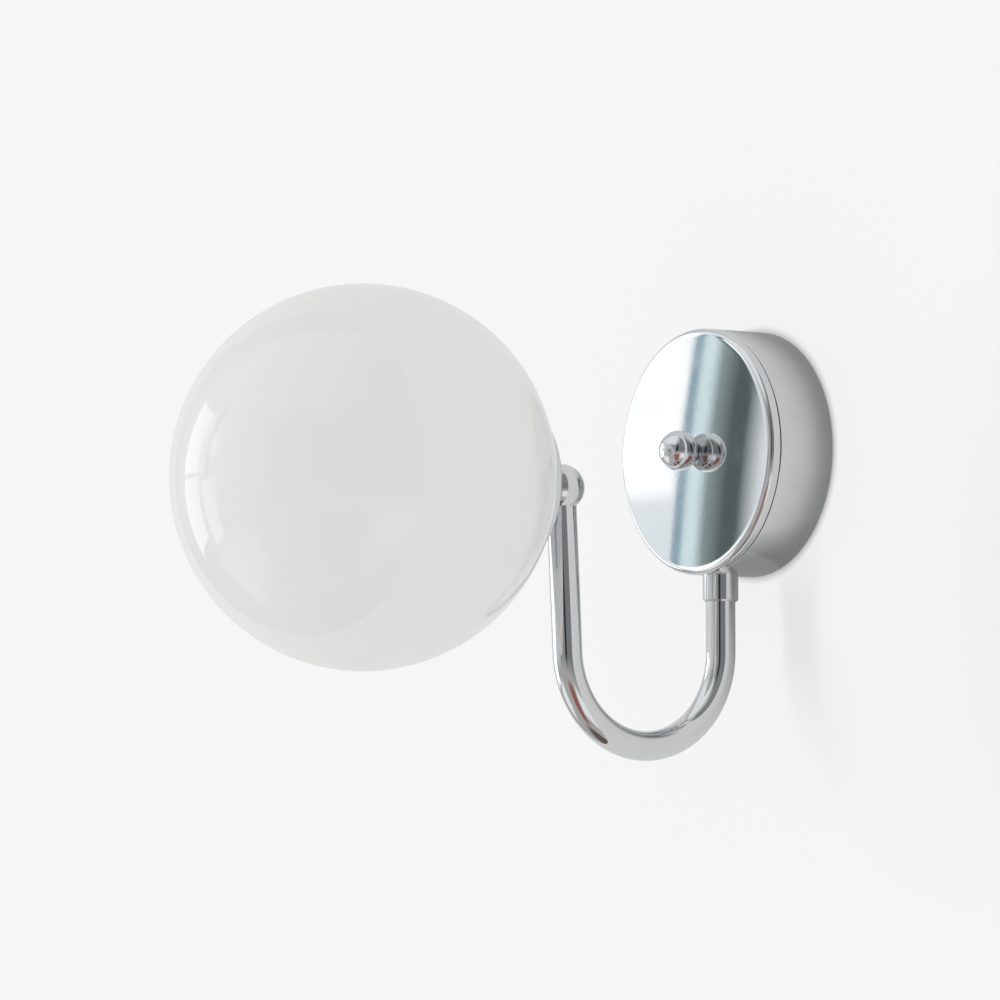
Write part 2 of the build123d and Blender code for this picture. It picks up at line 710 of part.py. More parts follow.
def lampholder_contacts():
    """Centre contact and side contact, each a plate with a stem through the base."""
    plate_front = shell_back - contact_plate
    centre_x, side_x = contact_places()
    stem = ring(contact_stem_dia / 2, 0, plate_front, stem_top)
    centre_plate = ring(contact_plate_dia / 2, 0, plate_front, shell_back)
    centre_link = Pos(centre_x / 2, 0, shell_back - contact_plate / 2) * Box(
        abs(centre_x), contact_link_width, contact_plate
    )
    side_link = Pos(side_x, 0, plate_front - slip_gap / 2) * Box(
        side_link_length, contact_link_width, slip_gap
    )
    centre_contact = Pos(centre_x, 0, 0) * stem + centre_plate + centre_link
    side_contact = Pos(side_x, 0, 0) * stem + side_link
    return Compound(children=[HEAD * centre_contact, HEAD * side_contact])


def lampholder_screws():
    """Terminal screws on top of the contact stems."""
    screws = []
    top = stem_top + holder_screw_height
    for x in contact_places():
        head = ring(holder_screw_dia / 2, 0, stem_top, top)
        slot = Pos(0, 0, top) * Box(holder_screw_dia + over, driver_slot_width, 2 * driver_slot_depth)
        screws.append(HEAD * Pos(x, 0, 0) * (head - slot))
    return Compound(children=screws)


# ------------------------------------------------------------------ globe
def globe_shade():
    """Opal glass ball, 3 mm thick, with a ground flat mouth."""
    ball = Sphere(globe_r) - Sphere(globe_r - glass_thickness)
    ball -= ring(globe_r, 0, globe_mouth, globe_r + over)
    return HEAD * (ball - ring(mouth_dia / 2, 0, 0, globe_r + over))


def globe_ring():
    """Threaded ring cemented in the mouth: a spigot inside and a flange on the ground edge."""
    spigot_r = mouth_dia / 2 - face_gap
    profile = [
        (ring_inner_r, globe_mouth - ring_depth), (spigot_r, globe_mouth - ring_depth),
        (spigot_r, globe_mouth),
        (ring_flange_dia / 2, globe_mouth), (ring_flange_dia / 2, ring_back), (ring_inner_r, ring_back),
    ]
    return HEAD * turned(profile)


# ------------------------------------------------------------------ lamp
def bulb_screw_cap():
    """Screw cap of the lamp: a thin threaded cup with a bevelled end."""
    outer_r, wall, bevel = bulb_cap_dia / 2, bulb_cap_wall, bulb_cap_bevel
    return HEAD * turned([
        (0, bulb_cap_back), (outer_r - bevel, bulb_cap_back), (outer_r, bulb_cap_back - bevel),
        (outer_r, bulb_cap_front), (outer_r - wall, bulb_cap_front), (outer_r - wall, bulb_cap_back - bevel),
        (outer_r - bevel, bulb_cap_back - wall), (0, bulb_cap_back - wall),
    ])


def bulb_contact():
    tip_r, top = bulb_tip_dia / 2, bulb_cap_back + bulb_tip
    side = [(tip_r, bulb_cap_back), (tip_r - bulb_tip_taper, top)]
    return HEAD * turned([(0, bulb_cap_back)] + side + [(0, top)])


def bulb_housing():
    """Plastic half of the lamp, from inside the screw cap to the edge of the diffuser."""
    neck_r, wall = bulb_neck_dia / 2, bulb_wall
    plug_r = bulb_cap_dia / 2 - bulb_cap_wall - face_gap
    plug_back = bulb_cap_back - bulb_cap_bevel - bulb_cap_wall
    neck_back = min(bulb_cap_front, holder_front - slip_gap)
    neck_front_t = neck_back - bulb_neck_step - bulb_neck_length
    return HEAD * turned([
        (plug_r, plug_back), (plug_r, neck_back), (neck_r, neck_back - bulb_neck_step),
        (neck_r, neck_front_t), (bulb_rim_r, bulb_shoulder), (bulb_rim_r - wall, bulb_shoulder),
        (neck_r - wall, neck_front_t), (plug_r - wall, neck_back), (plug_r - wall, plug_back),
    ])


def bulb_diffuser():
    """Opal front of the lamp: a hollow ball cut off where it meets the housing."""
    ball = Pos(0, 0, bulb_centre) * (Sphere(bulb_r) - Sphere(bulb_r - bulb_wall))
    return HEAD * (ball - ring(bulb_r + over, 0, bulb_shoulder, bulb_centre + bulb_r + over))


def led_board():
    """Round board across the mouth of the housing."""
    radius = min(board_dia / 2, bulb_rim_r - bulb_wall - slip_gap)
    return HEAD * ring(radius, 0, bulb_shoulder - board_thickness, bulb_shoulder)


# ------------------------------------------------------------------ wiring
def lead_entry(x, out):
    """Last run of a lead: down into the nipple to the end of the arm's cable."""
    return [(x, -out, nipple_top + lead_above_nipple), (x, -out, lead_meet_z)]


def terminal_lead(side):
    """Lead from an outer pole of the block, past the rod and its nut, into the nipple."""
    x, out = side * block_pitch, block_middle_out()
    top_z = block_centre_z - block_height / 2 + lead_in_clamp
    points = [(x, -out, top_z), (x, -out, 0)] + lead_entry(side * lead_spread, swivel_out)
    return round_bar(points, lead_dia / 2, [lead_upper_bend, lead_lower_bend])


def live_lead():
    return terminal_lead(-1)


def neutral_lead():
    return terminal_lead(1)


def earth_lead():
    """Lead from the tag's barrel down into the nipple."""
    out, top_z = earth_barrel_out(), earth_barrel_top() - earth_tail_lap - face_gap
    drop = [(0, -out, top_z), (0, -out, top_z - earth_lead_drop)]
    entry = lead_entry(0, swivel_out - earth_lead_back)
    return round_bar(drop + entry, lead_dia / 2, [earth_lead_bend, earth_lead_bend])


def cable_end_t():
    """Where the sheathed cable ends in the lampholder's cap."""
    return nipple_in_cap - cable_in_cap


def arm_cable():
    """Sheathed cable on the arm's centreline, turned into the lamp head inside the knuckle."""
    start_z = lead_meet_z - face_gap
    leg = arm_path(start_z, cable_bend)
    head_start = Vector(0, -knuckle_out - cable_bend, knuckle_z)
    turn = TangentArc(leg @ 1, head_start, tangent=leg % 1)
    path = leg + turn + Line(head_start, Vector(0, -globe_out + cable_end_t(), knuckle_z))
    section = Plane(origin=(0, -swivel_out, start_z), z_dir=(0, 0, -1))
    return sweep(section * Circle(cable_dia / 2), path=path)


def holder_lead(side):
    """Lead from the end of the cable to a terminal screw of the lampholder."""
    start_t = cable_end_t() - face_gap
    screw_top = stem_top + holder_screw_height
    x, near_x = side * holder_terminal_x, side * lead_spread
    beside = (holder_screw_dia + lead_dia) / 2 + slip_gap
    points = [
        (near_x, 0, start_t), (near_x, 0, start_t - holder_lead_straight),
        (x, beside, screw_top + holder_lead_above), (x, beside, screw_top - holder_lead_below),
    ]
    return HEAD * round_bar(points, lead_dia / 2, [holder_lead_bend, holder_lead_bend])


def holder_live_lead():
    return holder_lead(-1)


def holder_neutral_lead():
    return holder_lead(1)


# ------------------------------------------------------------------ write every piece
PIECES = [
    canopy_cover, canopy_body, mounting_bracket, threaded_rod, rod_lock_nut, ball_finial,
    terminal_block, terminal_clamps, terminal_screws, block_screws, earth_tag, earth_screw,
    collar, saddle_washer, stop_washer, spring_washer, arm_lock_nut, arm_nipple,
    arm_tube, knuckle_ball, leg_nipple, holder_nipple, neck_sleeve, gallery, screw_boss,
    gallery_gasket, gallery_lock_nut, lampholder_cap, lampholder_body, lampholder_shell,
    lampholder_contacts, lampholder_screws, globe_shade, globe_ring,
    bulb_screw_cap, bulb_contact, bulb_housing, bulb_diffuser, led_board,
    live_lead, neutral_lead, earth_lead, arm_cable, holder_live_lead, holder_neutral_lead,
]

os.makedirs("parts", exist_ok=True)
for make_piece in PIECES:
    name = make_piece.__name__
    piece = make_piece()
    export_step(piece, f"parts/{name}.step")
    print(name, round(piece.volume, 1))
print("knuckle", round(knuckle_out, 2), "globe centre", round(globe_out, 2), "in front of the wall")
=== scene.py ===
"""Looks of the globe wall sconce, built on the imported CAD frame.

The chrome and the opal glass that show are turned and swept again as finer meshes in the places of
their CAD nodes. The other nodes keep their CAD shape and get a finish of their own. Sizes are
millimetres until a mesh is placed; the row frame has its origin on the wall at the middle of the
canopy, -Y towards the room and +Z up.
"""

from __future__ import annotations

import logging
import math
from dataclasses import dataclass, field
from enum import Enum
from typing import Any, Mapping, Sequence

import bmesh
import bpy
from mathutils import Matrix, Vector

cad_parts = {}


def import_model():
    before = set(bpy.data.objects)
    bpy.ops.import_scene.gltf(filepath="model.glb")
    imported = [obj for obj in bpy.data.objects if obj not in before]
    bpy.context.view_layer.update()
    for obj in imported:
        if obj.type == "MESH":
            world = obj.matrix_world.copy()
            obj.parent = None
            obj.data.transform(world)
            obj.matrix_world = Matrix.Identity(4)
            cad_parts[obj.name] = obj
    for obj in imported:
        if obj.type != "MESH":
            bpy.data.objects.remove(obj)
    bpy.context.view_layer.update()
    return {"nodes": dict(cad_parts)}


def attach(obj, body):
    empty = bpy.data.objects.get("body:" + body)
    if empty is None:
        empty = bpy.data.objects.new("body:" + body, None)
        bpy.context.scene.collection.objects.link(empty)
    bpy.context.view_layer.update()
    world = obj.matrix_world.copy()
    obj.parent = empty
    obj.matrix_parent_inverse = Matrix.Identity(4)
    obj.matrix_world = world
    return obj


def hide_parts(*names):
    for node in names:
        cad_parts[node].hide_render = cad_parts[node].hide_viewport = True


MM = 0.001
SHARP_EDGE = math.radians(32)
WELD = 1e-7  # metres between points that are one
ON_AXLE = 1e-6  # millimetres from an axle, below which a point is on it
Point = tuple[float, float]
Spot = tuple[float, float, float]
Colour = tuple[float, float, float]
Socket = bpy.types.NodeSocket

log = logging.getLogger("sconce")


class Axle(Enum):
    """The lines that pieces are turned about."""

    OUT = "canopy, out from the wall"
    SWIVEL = "swivel, upwards"
    HEAD = "lamp head, back to the wall"
    LEG = "outer leg, down from the knuckle"


class Body(Enum):
    """The bodies that pieces ride on."""

    CANOPY = "canopy"
    FINIAL = "finial"
    ARM = "arm"
    GLOBE = "globe"
    BULB = "bulb"


class Marks(Enum):
    """What the making of a piece has left on its surface."""

    POLISHED = "soft waves under a mirror finish"
    TURNED = "fine rings about the axle"
    SPANGLED = "crystals of a zinc coat"
    MOULDED = "fine even grain of a mould"
    EXTRUDED = "faint lines along a drawn skin"


# ------------------------------------------------------------------ places
@dataclass(frozen=True)
class Layout:
    """Places of the sconce's axles, as the CAD model has them."""

    swivel_out: float = 18.0
    knuckle_out: float = 98.146
    knuckle_z: float = -17.5
    globe_out: float = 192.646
    leg_lean: float = math.radians(2.8)

    def knuckle(self) -> Vector:
        """Middle of the knuckle, in millimetres."""
        return Vector((0, -self.knuckle_out, self.knuckle_z))

    def leg(self) -> Vector:
        """Direction of the outer leg, down from the knuckle."""
        return Vector((0, math.sin(self.leg_lean), -math.cos(self.leg_lean)))

    def place(self, axle: Axle) -> Matrix:
        """Place of an axle in the row frame.

        Args:
            axle: The line whose own +Z the piece was drawn along.

        Returns:
            A matrix from millimetres on the axle to metres in the row frame.
        """
        across = Vector((1, 0, 0))
        origin, along = {
            Axle.OUT: (Vector((0, 0, 0)), Vector((0, -1, 0))),
            Axle.SWIVEL: (Vector((0, -self.swivel_out, 0)), Vector((0, 0, 1))),
            Axle.HEAD: (Vector((0, -self.globe_out, self.knuckle_z)), Vector((0, 1, 0))),
            Axle.LEG: (self.knuckle(), self.leg()),
        }[axle]
        turn = Matrix((across, along.cross(across), along)).transposed().to_4x4()
        return Matrix.Scale(MM, 4) @ Matrix.Translation(origin) @ turn


LAYOUT = Layout()


# ------------------------------------------------------------------ node graphs
class Graph:
    """A node tree that is filled in from nothing."""

    def __init__(self, tree: bpy.types.NodeTree) -> None:
        """Empty the tree, ready for new nodes."""
        self.tree = tree
        self.tree.nodes.clear()

    def add(self, kind: str, inputs: Mapping[Any, Any] | None = None, **settings: Any) -> bpy.types.Node:
        """Add a node.

        Args:
            kind: Blender's name for the node.
            inputs: A value or another node's output for each input, by name or number.
            settings: Properties of the node itself.

        Returns:
            The new node.
        """
        node = self.tree.nodes.new(kind)
        for name, value in settings.items():
            setattr(node, name, value)
        for key, value in (inputs or {}).items():
            if isinstance(value, Socket):
                self.tree.links.new(value, node.inputs[key])
            else:
                node.inputs[key].default_value = value
        return node

    def sum(self, how: str, *values: Any) -> Socket:
        """One step of arithmetic, such as ADD or MULTIPLY, on values or outputs."""
        return self.add("ShaderNodeMath", dict(enumerate(values)), operation=how).outputs[0]

    def mixed(self, first: Any, second: Any, share: float) -> Socket:
        """A share of one value with the rest of another."""
        return self.sum("ADD", self.sum("MULTIPLY", first, share), self.sum("MULTIPLY", second, 1 - share))

    def noise(self, where: Any, scale: float, detail: float = 2.0, spread: float = 0.5) -> Socket:
        """Noise at a number of waves to the metre."""
        inputs = {"Vector": where, "Scale": scale, "Detail": detail, "Roughness": spread}
        return self.add("ShaderNodeTexNoise", inputs).outputs["Fac"]

    def spread(self, value: Any, low: float, high: float, span: Point = (0.0, 1.0)) -> Socket:
        """A value that runs over a span, laid out between low and high."""
        inputs = {"Value": value, "From Min": span[0], "From Max": span[1], "To Min": low, "To Max": high}
        return self.add("ShaderNodeMapRange", inputs).outputs[0]

    def past(self, value: Any, edge: float, soft: float) -> Socket:
        """0 below an edge and 1 past it, with a soft change between."""
        return self.spread(value, 0.0, 1.0, (edge - soft / 2, edge + soft / 2))

    def between(self, value: Any, span: Point, soft: float) -> Socket:
        """1 between the two ends of a span and 0 beyond them, with soft ends."""
        short_of_end = self.spread(value, 1.0, 0.0, (span[1] - soft / 2, span[1] + soft / 2))
        return self.sum("MULTIPLY", self.past(value, span[0], soft), short_of_end)

    def blend(self, share: Any, first: Any, second: Any) -> Socket:
        """A colour between two others.

        Args:
            share: The share of the second colour.
            first: A colour, or the output that gives it.
            second: Another.

        Returns:
            The output that gives the blend.
        """
        node = self.add("ShaderNodeMix", data_type="RGBA")
        for number, value in ((0, share), (6, first), (7, second)):
            if isinstance(value, Socket):
                self.tree.links.new(value, node.inputs[number])
            else:
                node.inputs[number].default_value = value if number == 0 else (*value, 1)
        return node.outputs[2]

    def close(self, kind: str, shader: bpy.types.Node) -> None:
        """Join a shader to the output of the whole tree."""
        self.tree.links.new(shader.outputs[0], self.add(kind).inputs[0])


# ------------------------------------------------------------------ finishes
@dataclass(frozen=True)
class Layers:
    """How the heights of a kind of mark are laid over each other."""

    detail: float = 3.0
    spread: float = 0.6
    finer: float = 0.0  # waves of the second layer to one of the first, or 0 where there is none
    broad_share: float = 1.0


LAYERS = {
    Marks.MOULDED: Layers(),
    Marks.TURNED: Layers(detail=2.0),
    Marks.EXTRUDED: Layers(detail=1.0, spread=0.4),
    Marks.POLISHED: Layers(detail=1.0, spread=0.4, finer=14.0, broad_share=0.8),
    Marks.SPANGLED: Layers(finer=6.0, broad_share=0.7),
}
CLOUD_SHARE = 0.65  # of the tone, with the rest from the marks
GLOSS_SCALE = 2.3  # cloudings of the gloss to one of the colour
MIDDLE = (0.3, 0.7)  # where nearly all of a noise lies
LEAST_ROUGHNESS = 0.01


@dataclass(frozen=True)
class Finish:
    """A surface: two close colours, how glossy it is, and the marks of its making.

    The base class is a mould's or a tool's finish with nothing else on it.
    """

    name: str
    colour: Colour
    shade: Colour
    roughness: float = 0.4
    roughness_spread: float = 0.1
    metal: bool = False
    marks: Marks = Marks.MOULDED
    axle: Axle = Axle.HEAD
    grain: float = 700.0
    relief: float = 0.02
    patch: float = 60.0

    def material(self) -> bpy.types.Material:
        """The finish as a material, made once.

        Returns:
            The material that every piece of this finish shares.
        """
        title = f"{self.name}_finish"
        known = bpy.data.materials.get(title)
        if known:
            return known
        made = bpy.data.materials.new(title)
        made.use_nodes = True
        graph = Graph(made.node_tree)
        where = graph.add("ShaderNodeTexCoord").outputs["Object"]
        shader = graph.add("ShaderNodeBsdfPrincipled", {"Metallic": float(self.metal)})
        self.dress(graph, shader, where)
        graph.close("ShaderNodeOutputMaterial", shader)
        made.diffuse_color = (*self.colour, 1)
        made.metallic = float(self.metal)
        made.roughness = self.roughness
        return made

    def dress(self, graph: Graph, shader: bpy.types.Node, where: Socket) -> None:
        """Colour, gloss and relief of the finish.

        Args:
            graph: The material's graph.
            shader: Its surface shader.
            where: The place on the piece, in metres.
        """
        cloud = graph.noise(where, self.patch, detail=3.0, spread=0.6)
        height = self.height(graph, where)
        tone = graph.mixed(cloud, height, CLOUD_SHARE)
        colour = graph.blend(graph.spread(tone, 0.0, 1.0, MIDDLE), self.colour, self.shade)
        low = max(self.roughness - self.roughness_spread, LEAST_ROUGHNESS)
        high = self.roughness + self.roughness_spread
        smears = graph.noise(where, self.patch * GLOSS_SCALE, detail=4.0, spread=0.6)
        gloss = graph.spread(smears, low, high, MIDDLE)
        self.join(graph, shader, {"Base Color": colour, "Roughness": gloss})
        self.join(graph, shader, {"Normal": self.bumped(graph, height, self.relief)})

    def height(self, graph: Graph, where: Socket) -> Socket:
        """Height of the marks, 0 to 1.

        Args:
            graph: The material's graph.
            where: The place on the piece, in metres.

        Returns:
            The output that gives the height.
        """
        layers = LAYERS[self.marks]
        if self.marks in (Marks.TURNED, Marks.EXTRUDED):
            where = self.about(graph, where)
        if self.marks is Marks.SPANGLED:
            cells = graph.add("ShaderNodeTexVoronoi", {"Vector": where, "Scale": self.grain})
            broad = graph.add("ShaderNodeRGBToBW", {0: cells.outputs["Color"]}).outputs[0]
        else:
            broad = graph.noise(where, self.grain, layers.detail, layers.spread)
        if not layers.finer:
            return broad
        return graph.mixed(broad, graph.noise(where, self.grain * layers.finer), layers.broad_share)

    def about(self, graph: Graph, where: Socket) -> Socket:
        """The place as distance from the axle and height along it.

        Args:
            graph: The material's graph.
            where: The place on the piece, in metres.

        Returns:
            A vector whose X is the distance and whose Y is the height, for marks that run round.
        """
        to_axle = LAYOUT.place(self.axle).normalized().inverted()
        moves = {"Vector": where, "Location": to_axle.to_translation(), "Rotation": to_axle.to_euler()}
        turned_in = graph.add("ShaderNodeMapping", moves).outputs[0]
        flat = graph.add("ShaderNodeVectorMath", {0: turned_in, 1: (1, 1, 0)}, operation="MULTIPLY")
        length = graph.add("ShaderNodeVectorMath", {0: flat.outputs[0]}, operation="LENGTH")
        height = graph.add("ShaderNodeSeparateXYZ", {0: turned_in}).outputs[2]
        return graph.add("ShaderNodeCombineXYZ", {0: length.outputs["Value"], 1: height}).outputs[0]

    @staticmethod
    def bumped(graph: Graph, height: Socket, depth: float) -> Socket:
        """Normals over a height map whose full depth is given in millimetres."""
        inputs = {"Strength": 1.0, "Distance": depth * MM, "Height": height}
        return graph.add("ShaderNodeBump", inputs).outputs[0]

    @staticmethod
    def join(graph: Graph, shader: bpy.types.Node, outputs: Mapping[str, Socket]) -> None:
        """Link outputs to the shader's inputs of those names."""
        for name, output in outputs.items():
            graph.tree.links.new(output, shader.inputs[name])


@dataclass(frozen=True)
class OpalGlass(Finish):
    """White glass, or the lamp's white plastic: a skin over a milky body with very faint clouding."""

    index: float = 1.5

    def dress(self, graph: Graph, shader: bpy.types.Node, where: Socket) -> None:
        """Add the glass's index to the plain finish.

        Args:
            graph: The material's graph.
            shader: Its surface shader.
            where: The place on the piece, in metres.
        """
        super().dress(graph, shader, where)
        shader.inputs["IOR"].default_value = self.index


@dataclass(frozen=True)
class CircuitBoard(Finish):
    """White solder mask with pale yellow light chips in rows and columns."""

    chip: Colour = (0.86, 0.68, 0.16)
    chip_pitch: float = 6.0
    chip_reach: float = 0.24

    def dress(self, graph: Graph, shader: bpy.types.Node, where: Socket) -> None:
        """Add square chips to the plain finish.

        Args:
            graph: The material's graph.
            shader: Its surface shader.
            where: The place on the piece, in metres.
        """
        super().dress(graph, shader, where)
        under = shader.inputs["Base Color"].links[0].from_socket
        grid = {"Vector": where, "Scale": 1 / (self.chip_pitch * MM), "Randomness": 0.0}
        cells = graph.add("ShaderNodeTexVoronoi", grid, distance="CHEBYCHEV").outputs["Distance"]
        chips = graph.sum("LESS_THAN", cells, self.chip_reach)
        self.join(graph, shader, {"Base Color": graph.blend(chips, under, self.chip)})


CHROME = Finish(
    "polished_chrome", (0.71, 0.72, 0.725), (0.665, 0.68, 0.69), 0.03, 0.015, True, Marks.POLISHED,
    grain=45.0, relief=0.006, patch=35.0,
)
ZINC = Finish(
    "zinc_plated_steel", (0.62, 0.63, 0.62), (0.44, 0.46, 0.47), 0.33, 0.08, True, Marks.SPANGLED,
    grain=420.0, relief=0.015, patch=120.0,
)
BRASS = Finish(
    "nickelled_brass", (0.66, 0.62, 0.53), (0.55, 0.51, 0.42), 0.24, 0.07, True, Marks.TURNED,
    grain=2600.0, relief=0.012, patch=150.0,
)
ALUMINIUM = Finish(
    "turned_aluminium", (0.72, 0.73, 0.74), (0.6, 0.61, 0.63), 0.3, 0.08, True, Marks.TURNED,
    grain=2200.0, relief=0.016, patch=90.0,
)
OPAL = OpalGlass(
    "opal_glass", (0.753, 0.753, 0.743), (0.741, 0.741, 0.731), 0.03, 0.012, False, Marks.POLISHED,
    grain=30.0, relief=0.004, patch=18.0,
)
TERMINAL = Finish(
    "terminal_plastic", (0.62, 0.6, 0.53), (0.55, 0.53, 0.47), 0.45, 0.08, grain=1500.0, relief=0.02,
)
WHITE_PLASTIC = Finish(
    "white_thermoplastic", (0.74, 0.73, 0.7), (0.68, 0.67, 0.63), 0.36, 0.08,
    grain=1300.0, relief=0.015,
)
SILICONE = Finish(
    "silicone_gasket", (0.5, 0.5, 0.49), (0.42, 0.42, 0.41), 0.62, 0.1, grain=2000.0, relief=0.03,
)
LAMP_PLASTIC = Finish(
    "lamp_plastic", (0.78, 0.78, 0.76), (0.73, 0.73, 0.71), 0.42, 0.08, grain=1600.0, relief=0.018,
)
DIFFUSER = OpalGlass(
    "lamp_diffuser", (0.8, 0.8, 0.785), (0.76, 0.76, 0.745), 0.4, 0.06,
    grain=900.0, relief=0.008, index=1.49,
)
SOLDER = Finish(
    "solder", (0.6, 0.6, 0.6), (0.45, 0.45, 0.46), 0.3, 0.1, True,
    grain=1500.0, relief=0.04, patch=500.0,
)
BOARD = CircuitBoard(
    "board", (0.76, 0.77, 0.76), (0.7, 0.71, 0.7), 0.38, 0.08, grain=1800.0, relief=0.01,
)
LIVE = Finish(
    "live_insulation", (0.2, 0.085, 0.035), (0.15, 0.06, 0.025), 0.38, 0.08, False,
    Marks.EXTRUDED, Axle.SWIVEL, grain=1800.0, relief=0.015,
)
NEUTRAL = Finish(
    "neutral_insulation", (0.035, 0.13, 0.42), (0.028, 0.1, 0.34), 0.38, 0.08, False,
    Marks.EXTRUDED, Axle.SWIVEL, grain=1800.0, relief=0.015,
)
EARTH = Finish(
    "earth_insulation", (0.1, 0.36, 0.05), (0.6, 0.55, 0.03), 0.38, 0.08, False,
    Marks.EXTRUDED, Axle.SWIVEL, grain=260.0, relief=0.015, patch=90.0,
)
SHEATH = Finish(
    "cable_sheath", (0.7, 0.7, 0.68), (0.63, 0.63, 0.61), 0.5, 0.08, grain=1500.0, relief=0.02,
)


# ------------------------------------------------------------------ outlines and meshes
def arc(centre: Point, radius: float, start: float, end: float, steps: int) -> list[Point]:
    """Points on an arc.

    Args:
        centre: Its centre.
        radius: Its radius.
        start: The angle of its first point in degrees, from the outline's first axis.
        end: The angle of its last point.
        steps: How many steps it is drawn in.

    Returns:
        The points, both ends among them.
    """
    angles = [math.radians(start + (end - start) * step / steps) for step in range(steps + 1)]
    return [(centre[0] + radius * math.cos(a), centre[1] + radius * math.sin(a)) for a in angles]


def circle(count: int) -> list[Point]:
    """Points round a circle of radius 1."""
    angles = [2 * math.pi * number / count for number in range(count)]
    return [(math.cos(angle), math.sin(angle)) for angle in angles]


def eased(outline: Sequence[Point], radii: Mapping[int, float], steps: int = 5) -> list[Point]:
    """An outline with some of its corners rounded.

    Args:
        outline: A closed outline's corners.
        radii: The rounding radius of each corner that has one, by its number.
        steps: How many steps a rounding is drawn in.

    Returns:
        The new outline.
    """
    points: list[Point] = []
    for number, corner in enumerate(outline):
        if number not in radii:
            points.append(corner)
            continue
        here = Vector(corner)
        before = (Vector(outline[number - 1]) - here).normalized()
        after = (Vector(outline[(number + 1) % len(outline)]) - here).normalized()
        half = before.angle(after) / 2
        middle = here + (before + after).normalized() * (radii[number] / math.sin(half))
        first = here + before * (radii[number] / math.tan(half)) - middle
        last = here + after * (radii[number] / math.tan(half)) - middle
        turn = first.angle(last)
        for step in range(steps + 1):
            share = step / steps
            spot = first * math.sin((1 - share) * turn) + last * math.sin(share * turn)
            spot = middle + spot / math.sin(turn)
            points.append((spot.x, spot.y))
    return points


def mesh_of(
    name: str, spots: Sequence[Any], faces: Sequence[Sequence[int]], place: Matrix
) -> bpy.types.Mesh:
    """A closed mesh with outward faces, smooth but for its sharp edges.

    Args:
        name: The mesh's name.
        spots: Its points in millimetres.
        faces: Its faces, as numbers of points.
        place: Where it goes in the row frame.

    Returns:
        The mesh, in metres.
    """
    mesh = bpy.data.meshes.new(name)
    mesh.from_pydata([place @ Vector(spot) for spot in spots], [], faces)
    return tidy(mesh)


def tidy(mesh: bpy.types.Mesh) -> bpy.types.Mesh:
    """Turn a mesh's faces outwards and smooth all but its sharp edges.

    Args:
        mesh: The mesh, which is changed.

    Returns:
        The same mesh.
    """
    work = bmesh.new()
    work.from_mesh(mesh)
    bmesh.ops.remove_doubles(work, verts=work.verts, dist=WELD)
    bmesh.ops.recalc_face_normals(work, faces=work.faces)
    work.to_mesh(mesh)
    work.free()
    mesh.shade_smooth()
    mesh.set_sharp_from_angle(angle=SHARP_EDGE)
    return mesh


def turned(
    name: str, outline: Sequence[Point], axle: Axle, segments: int = 96, open_ended: bool = False
) -> bpy.types.Mesh:
    """Turn an outline of (radius, height) points about an axle.

    Args:
        name: The mesh's name.
        outline: The points, in order; one on the axle closes the piece there.
        axle: The axle that it is turned about.
        segments: How many faces go round it.
        open_ended: Whether the outline's ends both lie on the axle, so that they aren't joined.

    Returns:
        The mesh, in place.
    """
    spots: list[Spot] = []
    rings: list[list[int]] = []
    for radius, height in outline:
        first = len(spots)
        if radius < ON_AXLE:
            spots.append((0, 0, height))
            rings.append([first] * segments)
            continue
        spots += [(radius * x, radius * y, height) for x, y in circle(segments)]
        rings.append(list(range(first, first + segments)))
    if not open_ended:
        rings.append(rings[0])
    corners = [list(dict.fromkeys(quad)) for quad in quads(rings)]
    faces = [face for face in corners if len(face) > 2]
    return mesh_of(name, spots, faces, LAYOUT.place(axle))


def quads(rings: Sequence[Sequence[int]]) -> list[list[int]]:
    """Faces between rings of points.

    Args:
        rings: The numbers of each ring's points, as many in each.

    Returns:
        Four numbers of points for each face.
    """
    count = len(rings[0])
    return [
        [low[side], low[(side + 1) % count], high[(side + 1) % count], high[side]]
        for low, high in zip(rings, rings[1:])
        for side in range(count)
    ]


